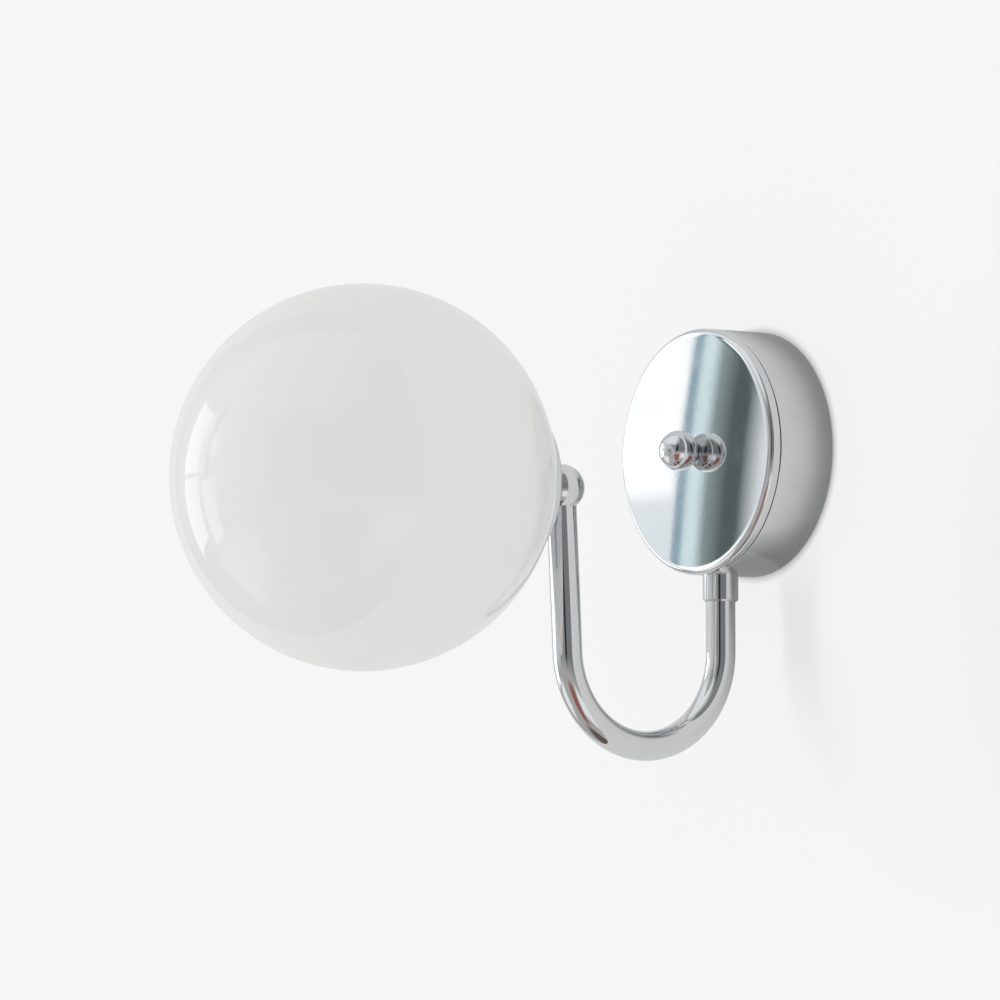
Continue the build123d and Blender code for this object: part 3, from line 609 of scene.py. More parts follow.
@dataclass(frozen=True)
class Thread:
    """A screw thread rolled or cut on a tube or a rod."""

    radius: float
    pitch: float
    depth: float
    rounded: bool = False
    steps: int = 7
    segments: int = 48

    def mesh(
        self, name: str, axle: Axle, ends: Point, bore: float = 0.0, skin: float = 0.0
    ) -> bpy.types.Mesh:
        """The threaded piece between two heights.

        Args:
            name: The mesh's name.
            axle: The axle that it turns about.
            ends: The heights of its two ends.
            bore: The radius of its plain bore, or 0.
            skin: How thick its wall is where the thread is rolled in a thin tube, or 0.

        Returns:
            The mesh, in place.
        """
        spots: list[Spot] = []
        outside = self.wall(spots, ends)
        faces = quads(outside)
        if bore or skin:
            inside = self.wall(spots, ends, skin) if skin else [self.ring(spots, z, bore) for z in ends]
            faces += quads(inside) + quads([outside[0], inside[0]]) + quads([outside[-1], inside[-1]])
        else:
            faces += [outside[0], outside[-1]]
        return mesh_of(name, spots, faces, LAYOUT.place(axle))

    def wall(self, spots: list[Spot], ends: Point, inset: float = 0.0, rows: int = 0) -> list[list[int]]:
        """Rings of a threaded wall, whose thread runs out at both ends.

        Args:
            spots: The mesh's points, to which the wall's are added.
            ends: The heights of its two ends.
            inset: How far it lies inside the thread's own skin.
            rows: How many steps it is drawn in, or 0 for the thread's own steps.

        Returns:
            The numbers of each ring's points.
        """
        low, high = ends
        rows = rows or round((high - low) / self.pitch * self.steps)
        rings = []
        for row in range(rows + 1):
            height = low + (high - low) * row / rows
            full = min(1.0, (height - low) / self.pitch, (high - height) / self.pitch)
            rings.append(self.ring(spots, height, self.radius - inset, full))
        return rings

    def ring(self, spots: list[Spot], height: float, radius: float, full: float = 0.0) -> list[int]:
        """One ring of points.

        Args:
            spots: The mesh's points, to which the ring's are added.
            height: Its height.
            radius: The radius of its crest.
            full: How much of the thread's depth it has, from 0 to 1.

        Returns:
            The numbers of its points.
        """
        first = len(spots)
        for number, (x, y) in enumerate(circle(self.segments)):
            out = radius - self.dip(height, number / self.segments) * full
            spots.append((out * x, out * y, height))
        return list(range(first, len(spots)))

    def dip(self, height: float, turn: float) -> float:
        """How far the thread lies below its crest.

        Args:
            height: The height.
            turn: The share of a turn about the axle.

        Returns:
            The depth in millimetres.
        """
        wave = (height / self.pitch - turn) % 1
        share = (1 + math.cos(2 * math.pi * wave)) / 2 if self.rounded else abs(2 * wave - 1)
        return self.depth * share


ROD_THREAD = Thread(radius=3.0, pitch=1.0, depth=0.55)
NIPPLE_THREAD = Thread(radius=5.0, pitch=1.0, depth=0.5)
NIPPLE_BORE = 4.0


def lamp_thread(radius: float) -> Thread:
    """The rolled thread of the lamp or of its holder, by the radius of its crest."""
    return Thread(radius, pitch=2.82, depth=0.3, rounded=True, steps=12, segments=72)


# ------------------------------------------------------------------ sub-assemblies
@dataclass
class Assembly:
    """Pieces that are made together, and how they join the frame."""

    nodes: Mapping[str, bpy.types.Object]
    made: list[bpy.types.Object] = field(default_factory=list)

    def piece(self, mesh: bpy.types.Mesh, body: Body, finish: Finish, *stands_for: str) -> bpy.types.Object:
        """Put a mesh on a body in place of CAD nodes.

        Args:
            mesh: The mesh, in the row frame.
            body: The body that it rides on.
            finish: Its finish, whose material the mesh takes.
            stands_for: The CAD nodes that it replaces.

        Returns:
            The new object.
        """
        thing = bpy.data.objects.new(mesh.name, mesh)
        bpy.context.scene.collection.objects.link(thing)
        mesh.materials.clear()
        mesh.materials.append(finish.material())
        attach(thing, body.value)
        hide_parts(*stands_for)
        self.made.append(thing)
        return thing

    def keep(self, finish: Finish, *names: str) -> None:
        """Dress CAD nodes that keep their own shape.

        Args:
            finish: Their finish.
            names: The nodes.
        """
        for name in names:
            node = self.nodes[name]
            node.data.materials.clear()
            node.data.materials.append(finish.material())
            self.made.append(node)

    def report(self) -> None:
        """Log each piece with the number of its faces."""
        for thing in self.made:
            log.info("%s: %s, %d faces", type(self).__name__, thing.name, len(thing.data.polygons))


@dataclass
class Canopy(Assembly):
    """The part on the wall: cover, body, finial, collar and what they hide."""

    radius: float = 50.0
    depth: float = 32.0
    dome: float = 0.8
    skirt: float = 6.0
    edge_radius: float = 2.5
    wall: float = 1.0
    seam_gap: float = 0.3
    lip_length: float = 2.4
    back_rim: float = 4.0
    eased_edge: float = 0.25
    rod_hole: float = 3.3
    finial_radius: float = 8.15
    finial_seat: float = 3.7
    finial_bore: float = 3.08
    finial_bore_depth: float = 6.5
    collar_radius: float = 7.25
    collar_bottom: float = -60.5
    collar_socket: float = 6.3
    collar_bore: float = 5.08
    tube_top: float = -56.95
    collar_chamfer: float = 0.7
    saddle_reach: float = 1.0
    arm_hole: float = 5.3
    drill_reach: float = 3.0
    side_rings: Point = (9.5, 25.4)  # keep the shading round the drilled hole off the rims
    finial_gap: float = 0.05
    rod_ends: Point = (4.4, 37.5)
    around: int = 288
    small_around: int = 128
    drill_around: int = 64
    face_steps: int = 36
    inner_face_steps: int = 12
    edge_steps: int = 16
    ball_steps: int = 56

    def build(self) -> None:
        """Make and dress the canopy's pieces."""
        self.piece(self.cover(), Body.CANOPY, CHROME, "canopy_cover")
        self.piece(self.body(), Body.CANOPY, CHROME, "canopy_body")
        self.piece(self.collar(), Body.CANOPY, CHROME, "collar")
        self.piece(self.finial(), Body.FINIAL, CHROME, "ball_finial")
        rod = ROD_THREAD.mesh("rod", Axle.OUT, self.rod_ends)
        self.piece(rod, Body.CANOPY, ZINC, "threaded_rod")
        self.keep(ZINC, "mounting_bracket", "rod_lock_nut", "earth_screw", "saddle_washer", "block_screws")
        self.keep(TERMINAL, "terminal_block")
        self.keep(BRASS, "terminal_clamps", "terminal_screws", "earth_tag")

    def crown(self, radius: float, top: float, edge: float, steps: int) -> list[Point]:
        """The crowned face and its rounded edge, from the rod hole outwards.

        Args:
            radius: The radius of the skirt.
            top: The height of the crown.
            edge: The radius of the rounded edge.
            steps: How many steps the crown is drawn in.

        Returns:
            Points from the rod hole to the top of the skirt.
        """
        crown_radius = (self.radius**2 + self.dome**2) / (2 * self.dome)
        centre = top - crown_radius
        middle = radius - edge
        edge_height = centre + math.sqrt((crown_radius - edge) ** 2 - middle**2)
        touch = math.degrees(math.atan2(edge_height - centre, middle))
        reach = crown_radius * math.cos(math.radians(touch))
        radii = [self.rod_hole + (reach - self.rod_hole) * step / steps for step in range(steps)]
        face = [(r, centre + math.sqrt(crown_radius**2 - r**2)) for r in radii]
        return face + arc((middle, edge_height), edge, touch, 0, self.edge_steps)

    def cover(self) -> bpy.types.Mesh:
        """Shallow front cover with a crowned face and a rounded edge.

        Returns:
            Its mesh.
        """
        low = self.depth - self.skirt + self.seam_gap
        inner, inner_edge = self.radius - self.wall, self.edge_radius - self.wall
        outside = self.crown(self.radius, self.depth, self.edge_radius, self.face_steps)
        inside = self.crown(inner, self.depth - self.wall, inner_edge, self.inner_face_steps)
        ease = self.eased_edge
        lower = [(self.radius, low + ease), (self.radius - ease, low), (inner, low)]
        return turned("cover", outside + lower + inside[::-1], Axle.OUT, self.around)

    def body(self) -> bpy.types.Mesh:
        """Deep ring with a wall rim, a joggled lip and a hole for the arm's nipple.

        Returns:
            Its mesh.
        """
        seam, inner = self.depth - self.skirt, self.radius - self.wall
        lip, front = inner - self.seam_gap, seam + self.lip_length
        low_ring, high_ring = self.side_rings
        corners = [
            (self.radius - self.back_rim, 0), (self.radius, 0), (self.radius, low_ring),
            (self.radius, high_ring), (self.radius, seam), (lip, seam), (lip, front),
            (lip - self.wall, front), (lip - self.wall, seam - self.wall), (inner, seam - self.wall),
            (inner, low_ring), (inner, self.wall), (self.radius - self.back_rim, self.wall),
        ]
        rounds = {number: self.eased_edge for number in (1, 4, 6)}
        return self.drilled(turned("body", eased(corners, rounds), Axle.OUT, self.around))

    def drilled(self, mesh: bpy.types.Mesh) -> bpy.types.Mesh:
        """Cut the hole for the arm's nipple through the lower side of the body.

        Args:
            mesh: The body's mesh.

        Returns:
            A new mesh with the hole in it.
        """
        low, high = -self.radius - self.drill_reach, -self.radius + self.drill_reach
        outline = [(0, low), (self.arm_hole, low), (self.arm_hole, high), (0, high)]
        bit = turned("drill", outline, Axle.SWIVEL, self.drill_around, open_ended=True)
        blank, drill = bpy.data.objects.new("blank", mesh), bpy.data.objects.new("drill", bit)
        for thing in (blank, drill):
            bpy.context.scene.collection.objects.link(thing)
        cut = blank.modifiers.new("hole", "BOOLEAN")
        cut.operation, cut.solver, cut.object = "DIFFERENCE", "EXACT", drill
        drilled = blank.evaluated_get(bpy.context.evaluated_depsgraph_get())
        result = bpy.data.meshes.new_from_object(drilled)
        for thing in (blank, drill):
            bpy.data.objects.remove(thing)
        result.name = "body"
        return tidy(result)

    def finial(self) -> bpy.types.Mesh:
        """Ball with a flat seat and a blind hole for the rod.

        Returns:
            Its mesh.
        """
        rise = math.sqrt(self.finial_radius**2 - self.finial_seat**2)
        angle = math.degrees(math.asin((self.finial_gap - rise) / self.finial_radius))
        ball = arc((0, self.depth + rise), self.finial_radius, angle, 90, self.ball_steps)
        seat, bottom = self.depth + self.finial_gap, self.depth + self.finial_bore_depth
        bore = [(0, bottom), (self.finial_bore, bottom), (self.finial_bore, seat)]
        outline = [*bore, *ball[:-1], (0, ball[-1][1])]
        return turned("finial", outline, Axle.OUT, self.small_around, open_ended=True)

    def collar(self) -> bpy.types.Mesh:
        """Short cylinder with a socket for the tube, saddled to the canopy's round underside.

        Returns:
            Its mesh.
        """
        bottom, chamfer = self.collar_bottom, self.collar_chamfer
        above, below = -self.radius + self.saddle_reach, -self.radius - self.saddle_reach
        outline = [
            (self.collar_bore, above), (self.collar_bore, self.tube_top),
            (self.collar_socket, self.tube_top), (self.collar_socket, bottom),
            (self.collar_radius - chamfer, bottom), (self.collar_radius, bottom + chamfer),
            (self.collar_radius, below), (self.collar_radius, above),
        ]
        mesh = turned("collar_piece", outline, Axle.SWIVEL, self.small_around)
        for vertex in mesh.vertices:
            if vertex.co.z > -self.radius * MM:
                vertex.co.z = -math.sqrt((self.radius * MM) ** 2 - vertex.co.x**2)
        return tidy(mesh)


@dataclass
class Arm(Assembly):
    """The U-shaped tube with its knuckle and the nipples and washers of the swivel."""

    tube_radius: float = 6.0
    tube_wall: float = 1.0
    top: float = -57.0
    bend_radius: float = 38.5
    bend_out: float = 56.5
    bend_z: float = -81.0
    knuckle_radius: float = 9.5
    swivel_nipple: Point = (-70.0, -39.45)
    leg_nipple_start: float = 5.2
    leg_nipple_reach: float = 13.0
    around: int = 96
    bend_steps: int = 120
    straight_rings: tuple[float, ...] = (0.0, 8.0, 16.0)
    leg_rings: tuple[float, ...] = (0.25, 0.5, 0.75, 1.0)
    knuckle_around: int = 144
    knuckle_rows: int = 96

    def build(self) -> None:
        """Make and dress the arm's pieces."""
        self.piece(self.tube(), Body.ARM, CHROME, "arm_tube")
        self.piece(self.knuckle(), Body.ARM, CHROME, "knuckle_ball")
        upper = NIPPLE_THREAD.mesh("swivel_nipple", Axle.SWIVEL, self.swivel_nipple, NIPPLE_BORE)
        self.piece(upper, Body.ARM, ZINC, "arm_nipple")
        ends = (self.leg_nipple_start, self.flat() + self.leg_nipple_reach)
        lower = NIPPLE_THREAD.mesh("knuckle_nipple", Axle.LEG, ends, NIPPLE_BORE)
        self.piece(lower, Body.ARM, ZINC, "leg_nipple")
        self.keep(ZINC, "stop_washer", "spring_washer", "arm_lock_nut")

    def flat(self) -> float:
        """Middle of the knuckle to each of its flats."""
        return math.sqrt(self.knuckle_radius**2 - self.tube_radius**2)

    def centreline(self) -> list[tuple[Vector, Vector]]:
        """Points and directions along the tube.

        Returns:
            A point and the way on from it, in millimetres, from the collar to the knuckle.
        """
        heights = [self.top - drop for drop in self.straight_rings]
        line = [(Vector((0, -LAYOUT.swivel_out, z)), Vector((0, 0, -1))) for z in heights]
        sweep = math.pi - LAYOUT.leg_lean
        for step in range(self.bend_steps + 1):
            angle = sweep * step / self.bend_steps
            out = self.bend_out - self.bend_radius * math.cos(angle)
            spot = Vector((0, -out, self.bend_z - self.bend_radius * math.sin(angle)))
            line.append((spot, Vector((0, -math.sin(angle), -math.cos(angle)))))
        start, way = line[-1]
        run = (LAYOUT.knuckle() - start).length - self.flat()
        line += [(start + way * run * share, way) for share in self.leg_rings]
        return line

    def tube(self) -> bpy.types.Mesh:
        """Hollow tube swept along its centreline.

        Returns:
            Its mesh.
        """
        across = Vector((1, 0, 0))
        spots: list[Vector] = []
        walls = []
        for radius in (self.tube_radius, self.tube_radius - self.tube_wall):
            rings = []
            for spot, way in self.centreline():
                up = way.cross(across)
                first = len(spots)
                spots += [spot + across * radius * x + up * radius * y for x, y in circle(self.around)]
                rings.append(list(range(first, len(spots))))
            walls.append(rings)
        outer, inner = walls
        faces = quads(outer) + quads(inner)
        faces += quads([outer[0], inner[0]]) + quads([outer[-1], inner[-1]])
        return mesh_of("tube", spots, faces, Matrix.Scale(MM, 4))

    def knuckle(self) -> bpy.types.Mesh:
        """Ball with a flat towards the leg and another towards the lamp head.

        Returns:
            Its mesh.
        """
        centre, radius = LAYOUT.knuckle() * MM, self.knuckle_radius * MM
        around, rows = self.knuckle_around, self.knuckle_rows
        poles = Matrix.Rotation(math.pi / 2, 3, "Y")
        work = bmesh.new()
        bmesh.ops.create_uvsphere(work, u_segments=around, v_segments=rows, radius=radius)
        bmesh.ops.rotate(work, verts=work.verts, cent=(0, 0, 0), matrix=poles)
        bmesh.ops.translate(work, verts=work.verts, vec=centre)
        for way in (LAYOUT.leg(), Vector((0, -1, 0))):
            plane = {"plane_co": centre + way * self.flat() * MM, "plane_no": way}
            everything = work.verts[:] + work.edges[:] + work.faces[:]
            cut = bmesh.ops.bisect_plane(work, geom=everything, clear_outer=True, **plane)
            edges = [edge for edge in cut["geom_cut"] if isinstance(edge, bmesh.types.BMEdge)]
            bmesh.ops.contextual_create(work, geom=edges)
        mesh = bpy.data.meshes.new("knuckle")
        work.to_mesh(mesh)
        work.free()
        return tidy(mesh)


@dataclass
class LampHead(Assembly):
    """What stands on the knuckle: neck, dish, screw boss and lampholder."""

    tube_radius: float = 6.0
    bore: float = 5.0
    neck_end: float = 87.135
    dish_back: float = 75.0
    neck_flare: float = 3.0
    neck_foot: float = 1.2
    dish_radius: float = 32.5
    dish_back_radius: float = 16.0
    dish_slope: float = 3.4
    dish_rim: float = 6.6
    dish_wall: float = 1.2
    dish_rounds: Mapping[int, float] = field(default_factory=lambda: {1: 1.5, 2: 1.0, 3: 0.5, 4: 0.4})
    round_steps: int = 8
    dish_around: int = 192
    neck_steps: int = 14
    shell_radius: float = 7.95
    shell_skin: float = 0.28
    shell_ends: Point = (22.75, 43.45)
    nipple_ends: Point = (61.25, 89.3)

    def build(self) -> None:
        """Make and dress the lamp head's pieces."""
        self.piece(self.neck(), Body.ARM, CHROME, "neck_sleeve")
        self.piece(self.dish(), Body.ARM, CHROME, "gallery")
        nipple = NIPPLE_THREAD.mesh("head_nipple", Axle.HEAD, self.nipple_ends, NIPPLE_BORE)
        self.piece(nipple, Body.ARM, ZINC, "holder_nipple")
        rolled = lamp_thread(self.shell_radius)
        shell = rolled.mesh("holder_shell", Axle.HEAD, self.shell_ends, skin=self.shell_skin)
        self.piece(shell, Body.ARM, BRASS, "lampholder_shell")
        self.keep(ALUMINIUM, "screw_boss")
        self.keep(SILICONE, "gallery_gasket")
        self.keep(ZINC, "gallery_lock_nut")
        self.keep(WHITE_PLASTIC, "lampholder_cap", "lampholder_body")
        self.keep(BRASS, "lampholder_contacts", "lampholder_screws")

    def neck(self) -> bpy.types.Mesh:
        """Sleeve with a hollow flare down to its foot on the dish.

        Returns:
            Its mesh.
        """
        foot, flare = self.dish_back + self.neck_foot, self.neck_flare
        wide = self.tube_radius + flare
        curve = arc((wide, foot + flare), flare, 180, 270, self.neck_steps)
        end = [(self.bore, self.neck_end), (self.tube_radius, self.neck_end)]
        outline = [*end, *curve, (wide, self.dish_back), (self.bore, self.dish_back)]
        return turned("neck", outline, Axle.HEAD)

    def dish(self) -> bpy.types.Mesh:
        """Shallow spun dish with a rounded back edge and a rolled rim.

        Returns:
            Its mesh.
        """
        back, wall = self.dish_back, self.dish_wall
        slope = self.dish_slope / (self.dish_radius - self.dish_back_radius)
        front, inner = back - self.dish_rim, self.dish_radius - wall
        inner_slope = back - (inner - self.dish_back_radius) * slope - wall
        outline = [
            (self.bore, back), (self.dish_back_radius, back), (self.dish_radius, back - self.dish_slope),
            (self.dish_radius, front), (inner, front), (inner, inner_slope),
            (self.dish_back_radius, back - wall), (self.bore, back - wall),
        ]
        rounded = eased(outline, self.dish_rounds, self.round_steps)
        return turned("dish", rounded, Axle.HEAD, self.dish_around)


@dataclass
class Globe(Assembly):
    """The opal glass and the threaded ring in its mouth."""

    radius: float = 75.0
    glass: float = 3.0
    edge_height: float = 68.0
    mouth: float = 27.5
    around: int = 224
    outer_steps: int = 110
    inner_steps: int = 60

    def build(self) -> None:
        """Make and dress the globe's pieces."""
        self.piece(self.shade(), Body.GLOBE, OPAL, "globe_shade")
        self.keep(ALUMINIUM, "globe_ring")

    def shade(self) -> bpy.types.Mesh:
        """Glass ball with a ground flat round its mouth.

        Returns:
            Its mesh.
        """
        inner = self.radius - self.glass
        top = math.degrees(math.asin(self.edge_height / self.radius))
        inner_top = math.degrees(math.acos(self.mouth / inner))
        outside = arc((0, 0), self.radius, -90, top, self.outer_steps)
        inside = arc((0, 0), inner, inner_top, -90, self.inner_steps)
        ground = (self.mouth, self.edge_height)
        outline = [(0, outside[0][1]), *outside[1:], ground, *inside[:-1], (0, inside[-1][1])]
        return turned("shade", outline, Axle.HEAD, self.around, open_ended=True)


@dataclass
class Bulb(Assembly):
    """The lamp in the holder."""

    cap_radius: float = 6.95
    cap_front: float = 20.85
    cap_back: float = 41.85
    cap_skin: float = 0.15
    cap_end: float = 0.4
    bevel: float = 1.5
    inner_bevel: float = 1.7
    vent: float = 0.4
    thread_rows: int = 84

    def build(self) -> None:
        """Make and dress the lamp's pieces."""
        self.piece(self.cap(), Body.BULB, BRASS, "bulb_screw_cap")
        self.keep(DIFFUSER, "bulb_diffuser")
        self.keep(LAMP_PLASTIC, "bulb_housing")
        self.keep(SOLDER, "bulb_contact")
        self.keep(BOARD, "led_board")

    def cap(self) -> bpy.types.Mesh:
        """Thin screw cap with a rolled thread and a bevelled end.

        Returns:
            Its mesh.
        """
        rolled = lamp_thread(self.cap_radius)
        threaded = (self.cap_front, self.cap_back - self.bevel)
        under = self.cap_back - self.cap_end
        end = [
            (self.cap_back, self.cap_radius - self.bevel), (self.cap_back, self.vent),
            (under, self.vent), (under, self.cap_radius - self.inner_bevel),
        ]
        spots: list[Spot] = []
        outer = rolled.wall(spots, threaded, rows=self.thread_rows)
        over = [rolled.ring(spots, height, radius) for height, radius in end]
        inner = rolled.wall(spots, threaded, self.cap_skin, self.thread_rows)
        rings = [*outer, *over, *inner[::-1], outer[0]]
        return mesh_of("lamp_cap", spots, quads(rings), LAYOUT.place(Axle.HEAD))


@dataclass
class Wiring(Assembly):
    """Leads and cable, which keep their CAD shape."""

    def build(self) -> None:
        """Dress the wiring."""
        self.keep(LIVE, "live_lead", "holder_live_lead")
        self.keep(NEUTRAL, "neutral_lead", "holder_neutral_lead")
        self.keep(EARTH, "earth_lead")
        self.keep(SHEATH, "arm_cable")


# ------------------------------------------------------------------ studio
@dataclass(frozen=True)
class Camera:
    """The photograph's view: right of the front and slightly from below."""

    target: Spot = (0.0, -120.0, -20.0)
    azimuth: float = math.radians(54.37)
    elevation: float = math.radians(-4.1)
    distance: float = 2064.4
    aim_right: float = -6.35
    aim_up: float = -3.30
    lens: float = 188.26
    sensor: float = 36.0
    clip: Point = (0.02, 50.0)

    def place(self) -> None:
        """Set up the camera and make it the scene's."""
        a, e = self.azimuth, self.elevation
        back = Vector((math.sin(a) * math.cos(e), -math.cos(a) * math.cos(e), math.sin(e)))
        right = Vector((math.cos(a), math.sin(a), 0))
        up = back.cross(right)
        target = Vector(self.target)
        spot = target + back * self.distance
        aim = target + right * self.aim_right + up * self.aim_up
        data = bpy.data.cameras.new("camera")
        data.lens, data.sensor_width = self.lens, self.sensor
        data.clip_start, data.clip_end = self.clip
        camera = bpy.data.objects.new("camera", data)
        camera.location = spot * MM
        camera.rotation_euler = (aim - spot).to_track_quat("-Z", "Y").to_euler()
        bpy.context.scene.collection.objects.link(camera)
        bpy.context.scene.camera = camera


@dataclass(frozen=True)
class RoomBand:
    """A part of the room that polished pieces mirror, from one azimuth on."""

    start: float
    colour: Colour
    soft: float = 0.8


@dataclass(frozen=True)
class Patch:
    """A patch of the mirrored room, such as a window pane, by azimuth and height in degrees."""

    across: Point
    tall: Point
    colour: Colour
    soft: float = 1.0


@dataclass
class Studio:
    """A pale wall and floor, a soft window light from the left and the room that chrome mirrors."""

    pale: float = 0.9216
    facing: float = 0.918
    fill_front: float = 0.98
    fill_back: float = 0.93
    key_strength: float = 0.56
    key_azimuth: float = -56.0
    key_width: float = 30.0
    wall_key: float = 5.2
    wall_key_azimuth: float = -57.0
    wall_key_width: float = 7.0
    window_slopes: tuple[float, ...] = (-0.45, -0.28, -0.11, 0.06, 0.23, 0.4)
    shadow_pieces: tuple[str, ...] = ("collar_piece", "tube")
    wall_share: float = 0.11
    wall_size: float = 4.0
    wall_gap: float = 0.0006
    floor_drop: float = 1.7
    # reaches and levels of the shade painted into the backdrop's glow, seen directly and in mirrors
    contact: float = 0.0035
    mirrored_shadow: float = 0.08
    mirrored_corner: float = 0.25
    corner_shade: Point = (0.62, 0.95)
    mirrored_wall: float = 0.8
    fill_span: Point = (-0.7, 0.7)
    ceiling: Colour = (0.62, 0.65, 0.66)
    ceiling_span: Point = (22.0, 50.0)
    ground: Colour = (0.5, 0.49, 0.49)
    ground_span: Point = (-17.0, -3.0)
    patches: tuple[Patch, ...] = (
        Patch((-76.0, -58.5), (-17.0, 2.2), (1.9, 1.94, 1.98)),
        Patch((-76.0, -58.5), (3.2, 23.0), (2.1, 2.14, 2.18)),
        Patch((-60.0, -54.1), (3.3, 23.0), (1.45, 1.46, 1.46), 0.5),
        Patch((-54.0, -42.0), (-22.0, 0.4), (1.7, 1.73, 1.76)),
        Patch((-51.0, -44.0), (8.8, 17.0), (1.6, 1.63, 1.66)),
        Patch((-60.0, -16.0), (-48.0, -24.0), (1.05, 1.06, 1.08), 8.0),
        Patch((30.0, 62.0), (-64.0, -25.0), (0.36, 0.15, 0.12), 7.0),
        Patch((68.0, 98.0), (-46.0, -20.0), (1.0, 1.03, 1.04), 6.0),
        Patch((-200.0, 200.0), (-100.0, -70.0), (0.17, 0.12, 0.1), 8.0),
        Patch((-74.0, 30.0), (31.0, 100.0), (0.98, 1.0, 1.0), 9.0),
        Patch((52.0, 92.0), (15.0, 66.0), (0.27, 0.28, 0.27), 8.0),
    )
    tilt: float = 0.174
    bands: tuple[RoomBand, ...] = (
        RoomBand(-180.0, (0.6, 0.62, 0.63)),
        RoomBand(-81.0, (0.74, 0.77, 0.79), 10.0),
        RoomBand(-58.0, (1.02, 1.07, 1.09), 1.0),
        RoomBand(-54.0, (0.36, 0.5, 0.58), 0.25),
        RoomBand(-53.4, (0.9, 1.06, 1.1), 0.35),
        RoomBand(-52.4, (0.3, 0.37, 0.36), 0.6),
        RoomBand(-51.5, (0.11, 0.145, 0.14), 0.9),
        RoomBand(-49.7, (0.95, 0.98, 1.0), 1.2),
        RoomBand(-36.0, (0.68, 0.7, 0.71), 12.0),
        RoomBand(-1.0, (0.22, 0.24, 0.25), 7.0),
        RoomBand(6.0, (0.33, 0.345, 0.35), 6.0),
        RoomBand(37.0, (0.03, 0.034, 0.036), 6.0),
        RoomBand(51.0, (0.23, 0.24, 0.25), 7.0),
        RoomBand(92.0, (0.5, 0.52, 0.53), 14.0),
    )

    def build(self, pieces: Sequence[bpy.types.Object]) -> None:
        """Set up the view settings, the stage, the lamps and the world.

        Args:
            pieces: The sconce's pieces, some of which throw a shadow on the wall.
        """
        bpy.context.scene.view_settings.view_transform = "Standard"
        wall = self.sheet("wall", self.wall_size, (0, self.wall_gap, 0), (math.pi / 2, 0, 0))
        floor = self.sheet("floor", self.wall_size, (0, 0, -self.floor_drop), (0, 0, 0))
        wall.data.materials.append(self.backdrop("wall_paint_and_painted_shade", 1.0))
        floor.data.materials.append(self.backdrop("floor_paint_and_painted_shade", 0.0))
        floor.visible_glossy = False
        self.sun("window_light", self.key_strength, self.key_width, self.key_azimuth)
        blocking = [piece for piece in pieces if piece.name in self.shadow_pieces]
        for slope in self.window_slopes:
            strength = self.wall_key / len(self.window_slopes) * math.hypot(1.0, slope)
            spread, azimuth = self.wall_key_width, self.wall_key_azimuth
            lamp = self.sun("window_light_on_wall", strength, spread, azimuth, slope)
            self.link(lamp, [wall], blocking)
        self.world()

    @staticmethod
    def sheet(name: str, size: float, spot: Spot, turn: Spot) -> bpy.types.Object:
        """A large flat sheet.

        Args:
            name: Its name.
            size: Half its side, in metres.
            spot: Its middle.
            turn: Its rotation about X, Y and Z.

        Returns:
            The sheet.
        """
        corners = [(-size, -size, 0), (size, -size, 0), (size, size, 0), (-size, size, 0)]
        mesh = bpy.data.meshes.new(name)
        mesh.from_pydata(corners, [], [(0, 1, 2, 3)])
        thing = bpy.data.objects.new(name, mesh)
        thing.location, thing.rotation_euler = spot, turn
        bpy.context.scene.collection.objects.link(thing)
        return thing

    def backdrop(self, name: str, lamplight: float) -> bpy.types.Material:
        """The paint of the wall or the floor, which shows from its front only, with shade painted into its
        glow.

        Args:
            name: The material's name.
            lamplight: The share of the nearly level lamplight that it faces.

        Returns:
            The material: pale, with contact shadows painted into its glow by ambient occlusion, a broader
                painted shade where chrome mirrors it near the pieces, and a share that the window light
                falls on.
        """
        made = bpy.data.materials.new(name)
        made.use_nodes = True
        graph = Graph(made.node_tree)
        path = graph.add("ShaderNodeLightPath").outputs
        direct = path["Is Camera Ray"]
        bounced = graph.sum("MAXIMUM", path["Is Glossy Ray"], path["Is Transmission Ray"])
        backfacing = graph.add("ShaderNodeNewGeometry").outputs["Backfacing"]
        front = graph.sum("SUBTRACT", 1.0, backfacing)
        shown = graph.sum("MULTIPLY", graph.sum("MAXIMUM", direct, bounced), front)
        reach = graph.spread(direct, self.mirrored_shadow, self.contact)
        fill = self.facing * self.fill_front + (1 - self.facing) * self.fill_back
        key = self.wall_key / math.pi * math.cos(math.radians(self.wall_key_azimuth))
        key += self.key_strength / math.pi * math.cos(math.radians(self.key_azimuth))
        lit = self.wall_share * (fill + lamplight * key)
        open_sky = {"Color": (1, 1, 1, 1), "Distance": reach}
        # painted contact shade: ambient occlusion darkens the glow next to the pieces
        shade = graph.add("ShaderNodeAmbientOcclusion", open_sky, samples=16).outputs["AO"]
        seen_directly = graph.sum("MULTIPLY", shade, self.pale - lit)
        # painted shade for mirrors: the wall that chrome mirrors is darkened further near the pieces, eased
        # by a smooth step
        levels = dict(enumerate((shade, *self.corner_shade, self.mirrored_corner, 1.0)))
        fall = graph.add("ShaderNodeMapRange", levels, interpolation_type="SMOOTHSTEP").outputs[0]
        in_a_mirror = graph.sum("MULTIPLY", fall, self.mirrored_wall - lit)
        shine = graph.blend(direct, in_a_mirror, seen_directly)
        glow = graph.add("ShaderNodeEmission", {"Strength": shine})
        paint = graph.add("ShaderNodeBsdfDiffuse", {"Color": (self.wall_share,) * 3 + (1,)})
        both = graph.add("ShaderNodeAddShader", {0: glow.outputs[0], 1: paint.outputs[0]})
        clear = graph.add("ShaderNodeBsdfTransparent")
        mixed = graph.add("ShaderNodeMixShader", {0: shown, 1: clear.outputs[0], 2: both.outputs[0]})
        graph.close("ShaderNodeOutputMaterial", mixed)
        return made

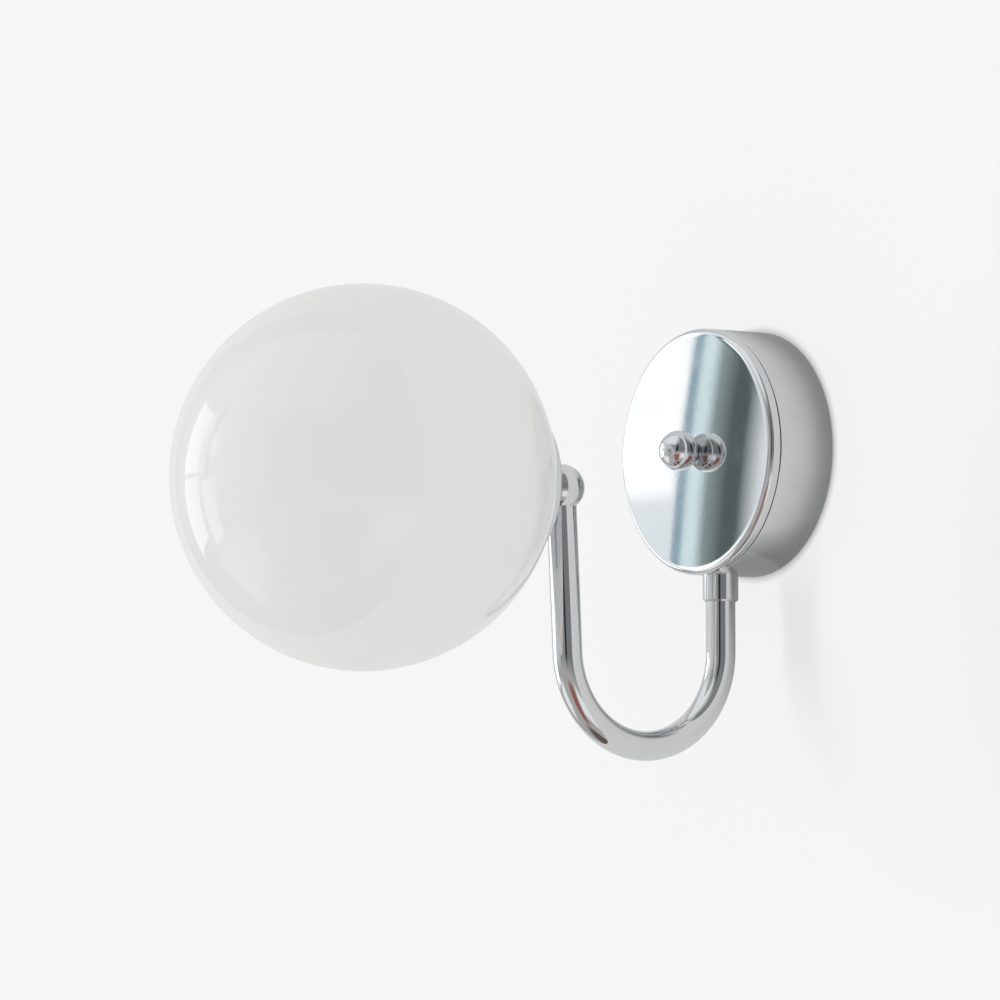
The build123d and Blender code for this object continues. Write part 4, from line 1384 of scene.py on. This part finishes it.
    @staticmethod
    def sun(
        name: str, strength: float, width: float, azimuth: float, slope: float = 0.02
    ) -> bpy.types.Object:
        """A soft light from the left of the front.

        Args:
            name: The lamp's name.
            strength: Its strength.
            width: How wide it looks, in degrees.
            azimuth: Where it stands, in degrees from straight ahead.
            slope: How far it falls for each unit along the ground.

        Returns:
            The lamp.
        """
        lamp = bpy.data.lights.new(name, "SUN")
        lamp.energy, lamp.angle = strength, math.radians(width)
        thing = bpy.data.objects.new(name, lamp)
        a = math.radians(azimuth)
        towards = Vector((-math.sin(a), math.cos(a), -slope))
        thing.rotation_euler = towards.to_track_quat("-Z", "Y").to_euler()
        thing.visible_glossy = False
        bpy.context.scene.collection.objects.link(thing)
        return thing

    @staticmethod
    def link(
        lamp: bpy.types.Object, lit: Sequence[bpy.types.Object], blocking: Sequence[bpy.types.Object]
    ) -> None:
        """Let a lamp light some things only, and let only some throw shadows from it.

        Args:
            lamp: The lamp.
            lit: What it lights.
            blocking: What throws shadows.
        """
        for kind, things in (("receiver_collection", lit), ("blocker_collection", blocking)):
            group = bpy.data.collections.new(f"{lamp.name}_{kind}")
            for thing in things:
                group.objects.link(thing)
            setattr(lamp.light_linking, kind, group)

    def world(self) -> None:
        """Even fill light, a pale background, and the mirrored room for glossy rays alone."""
        world = bpy.data.worlds.new("room")
        world.use_nodes = True
        bpy.context.scene.world = world
        graph = Graph(world.node_tree)
        way = graph.add("ShaderNodeTexCoord").outputs["Generated"]
        x, y, z = graph.add("ShaderNodeSeparateXYZ", {0: way}).outputs
        path = graph.add("ShaderNodeLightPath").outputs
        towards_front = graph.spread(y, 1.0, 0.0, self.fill_span)
        fill = graph.blend(towards_front, (self.fill_back,) * 3, (self.fill_front,) * 3)
        lit = graph.blend(path["Is Glossy Ray"], fill, self.mirrored_room(graph, x, y, z))
        pale = graph.sum("MAXIMUM", path["Is Camera Ray"], path["Is Transmission Ray"])
        shown = graph.blend(pale, lit, (self.pale,) * 3)
        graph.close("ShaderNodeOutputWorld", graph.add("ShaderNodeBackground", {"Color": shown}))

    def mirrored_room(self, graph: Graph, x: Socket, y: Socket, z: Socket) -> Socket:
        """The room by direction: bands by azimuth, with a ceiling above and a floor below.

        Args:
            graph: The world's graph.
            x: The direction's part along X.
            y: The direction's part along Y.
            z: The direction's part along Z.

        Returns:
            The colour in that direction.
        """
        azimuth = graph.sum("DEGREES", graph.sum("ARCTAN2", x, graph.sum("MULTIPLY", y, -1.0)))
        height = graph.sum("DEGREES", graph.sum("ARCSINE", z))
        leaning = graph.sum("ADD", azimuth, graph.sum("MULTIPLY", height, -self.tilt))
        room: Any = self.bands[0].colour
        for band in self.bands[1:]:
            room = graph.blend(graph.past(leaning, band.start, band.soft), room, band.colour)
        room = graph.blend(graph.spread(height, 0.0, 1.0, self.ceiling_span), room, self.ceiling)
        room = graph.blend(graph.spread(height, 1.0, 0.0, self.ground_span), room, self.ground)
        for patch in self.patches:
            across = graph.between(leaning, patch.across, patch.soft)
            tall = graph.between(height, patch.tall, patch.soft)
            room = graph.blend(graph.sum("MULTIPLY", across, tall), room, patch.colour)
        return room


def main() -> None:
    """Build the sub-assemblies in order, then the studio."""
    logging.basicConfig(level=logging.INFO, format="%(name)s: %(message)s")
    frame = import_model()
    parts = [part(frame["nodes"]) for part in (Canopy, Arm, LampHead, Globe, Bulb, Wiring)]
    for part in parts:
        part.build()
        part.report()
    Studio().build([piece for part in parts for piece in part.made])
    Camera().place()


if __name__ == "__main__":
    main()
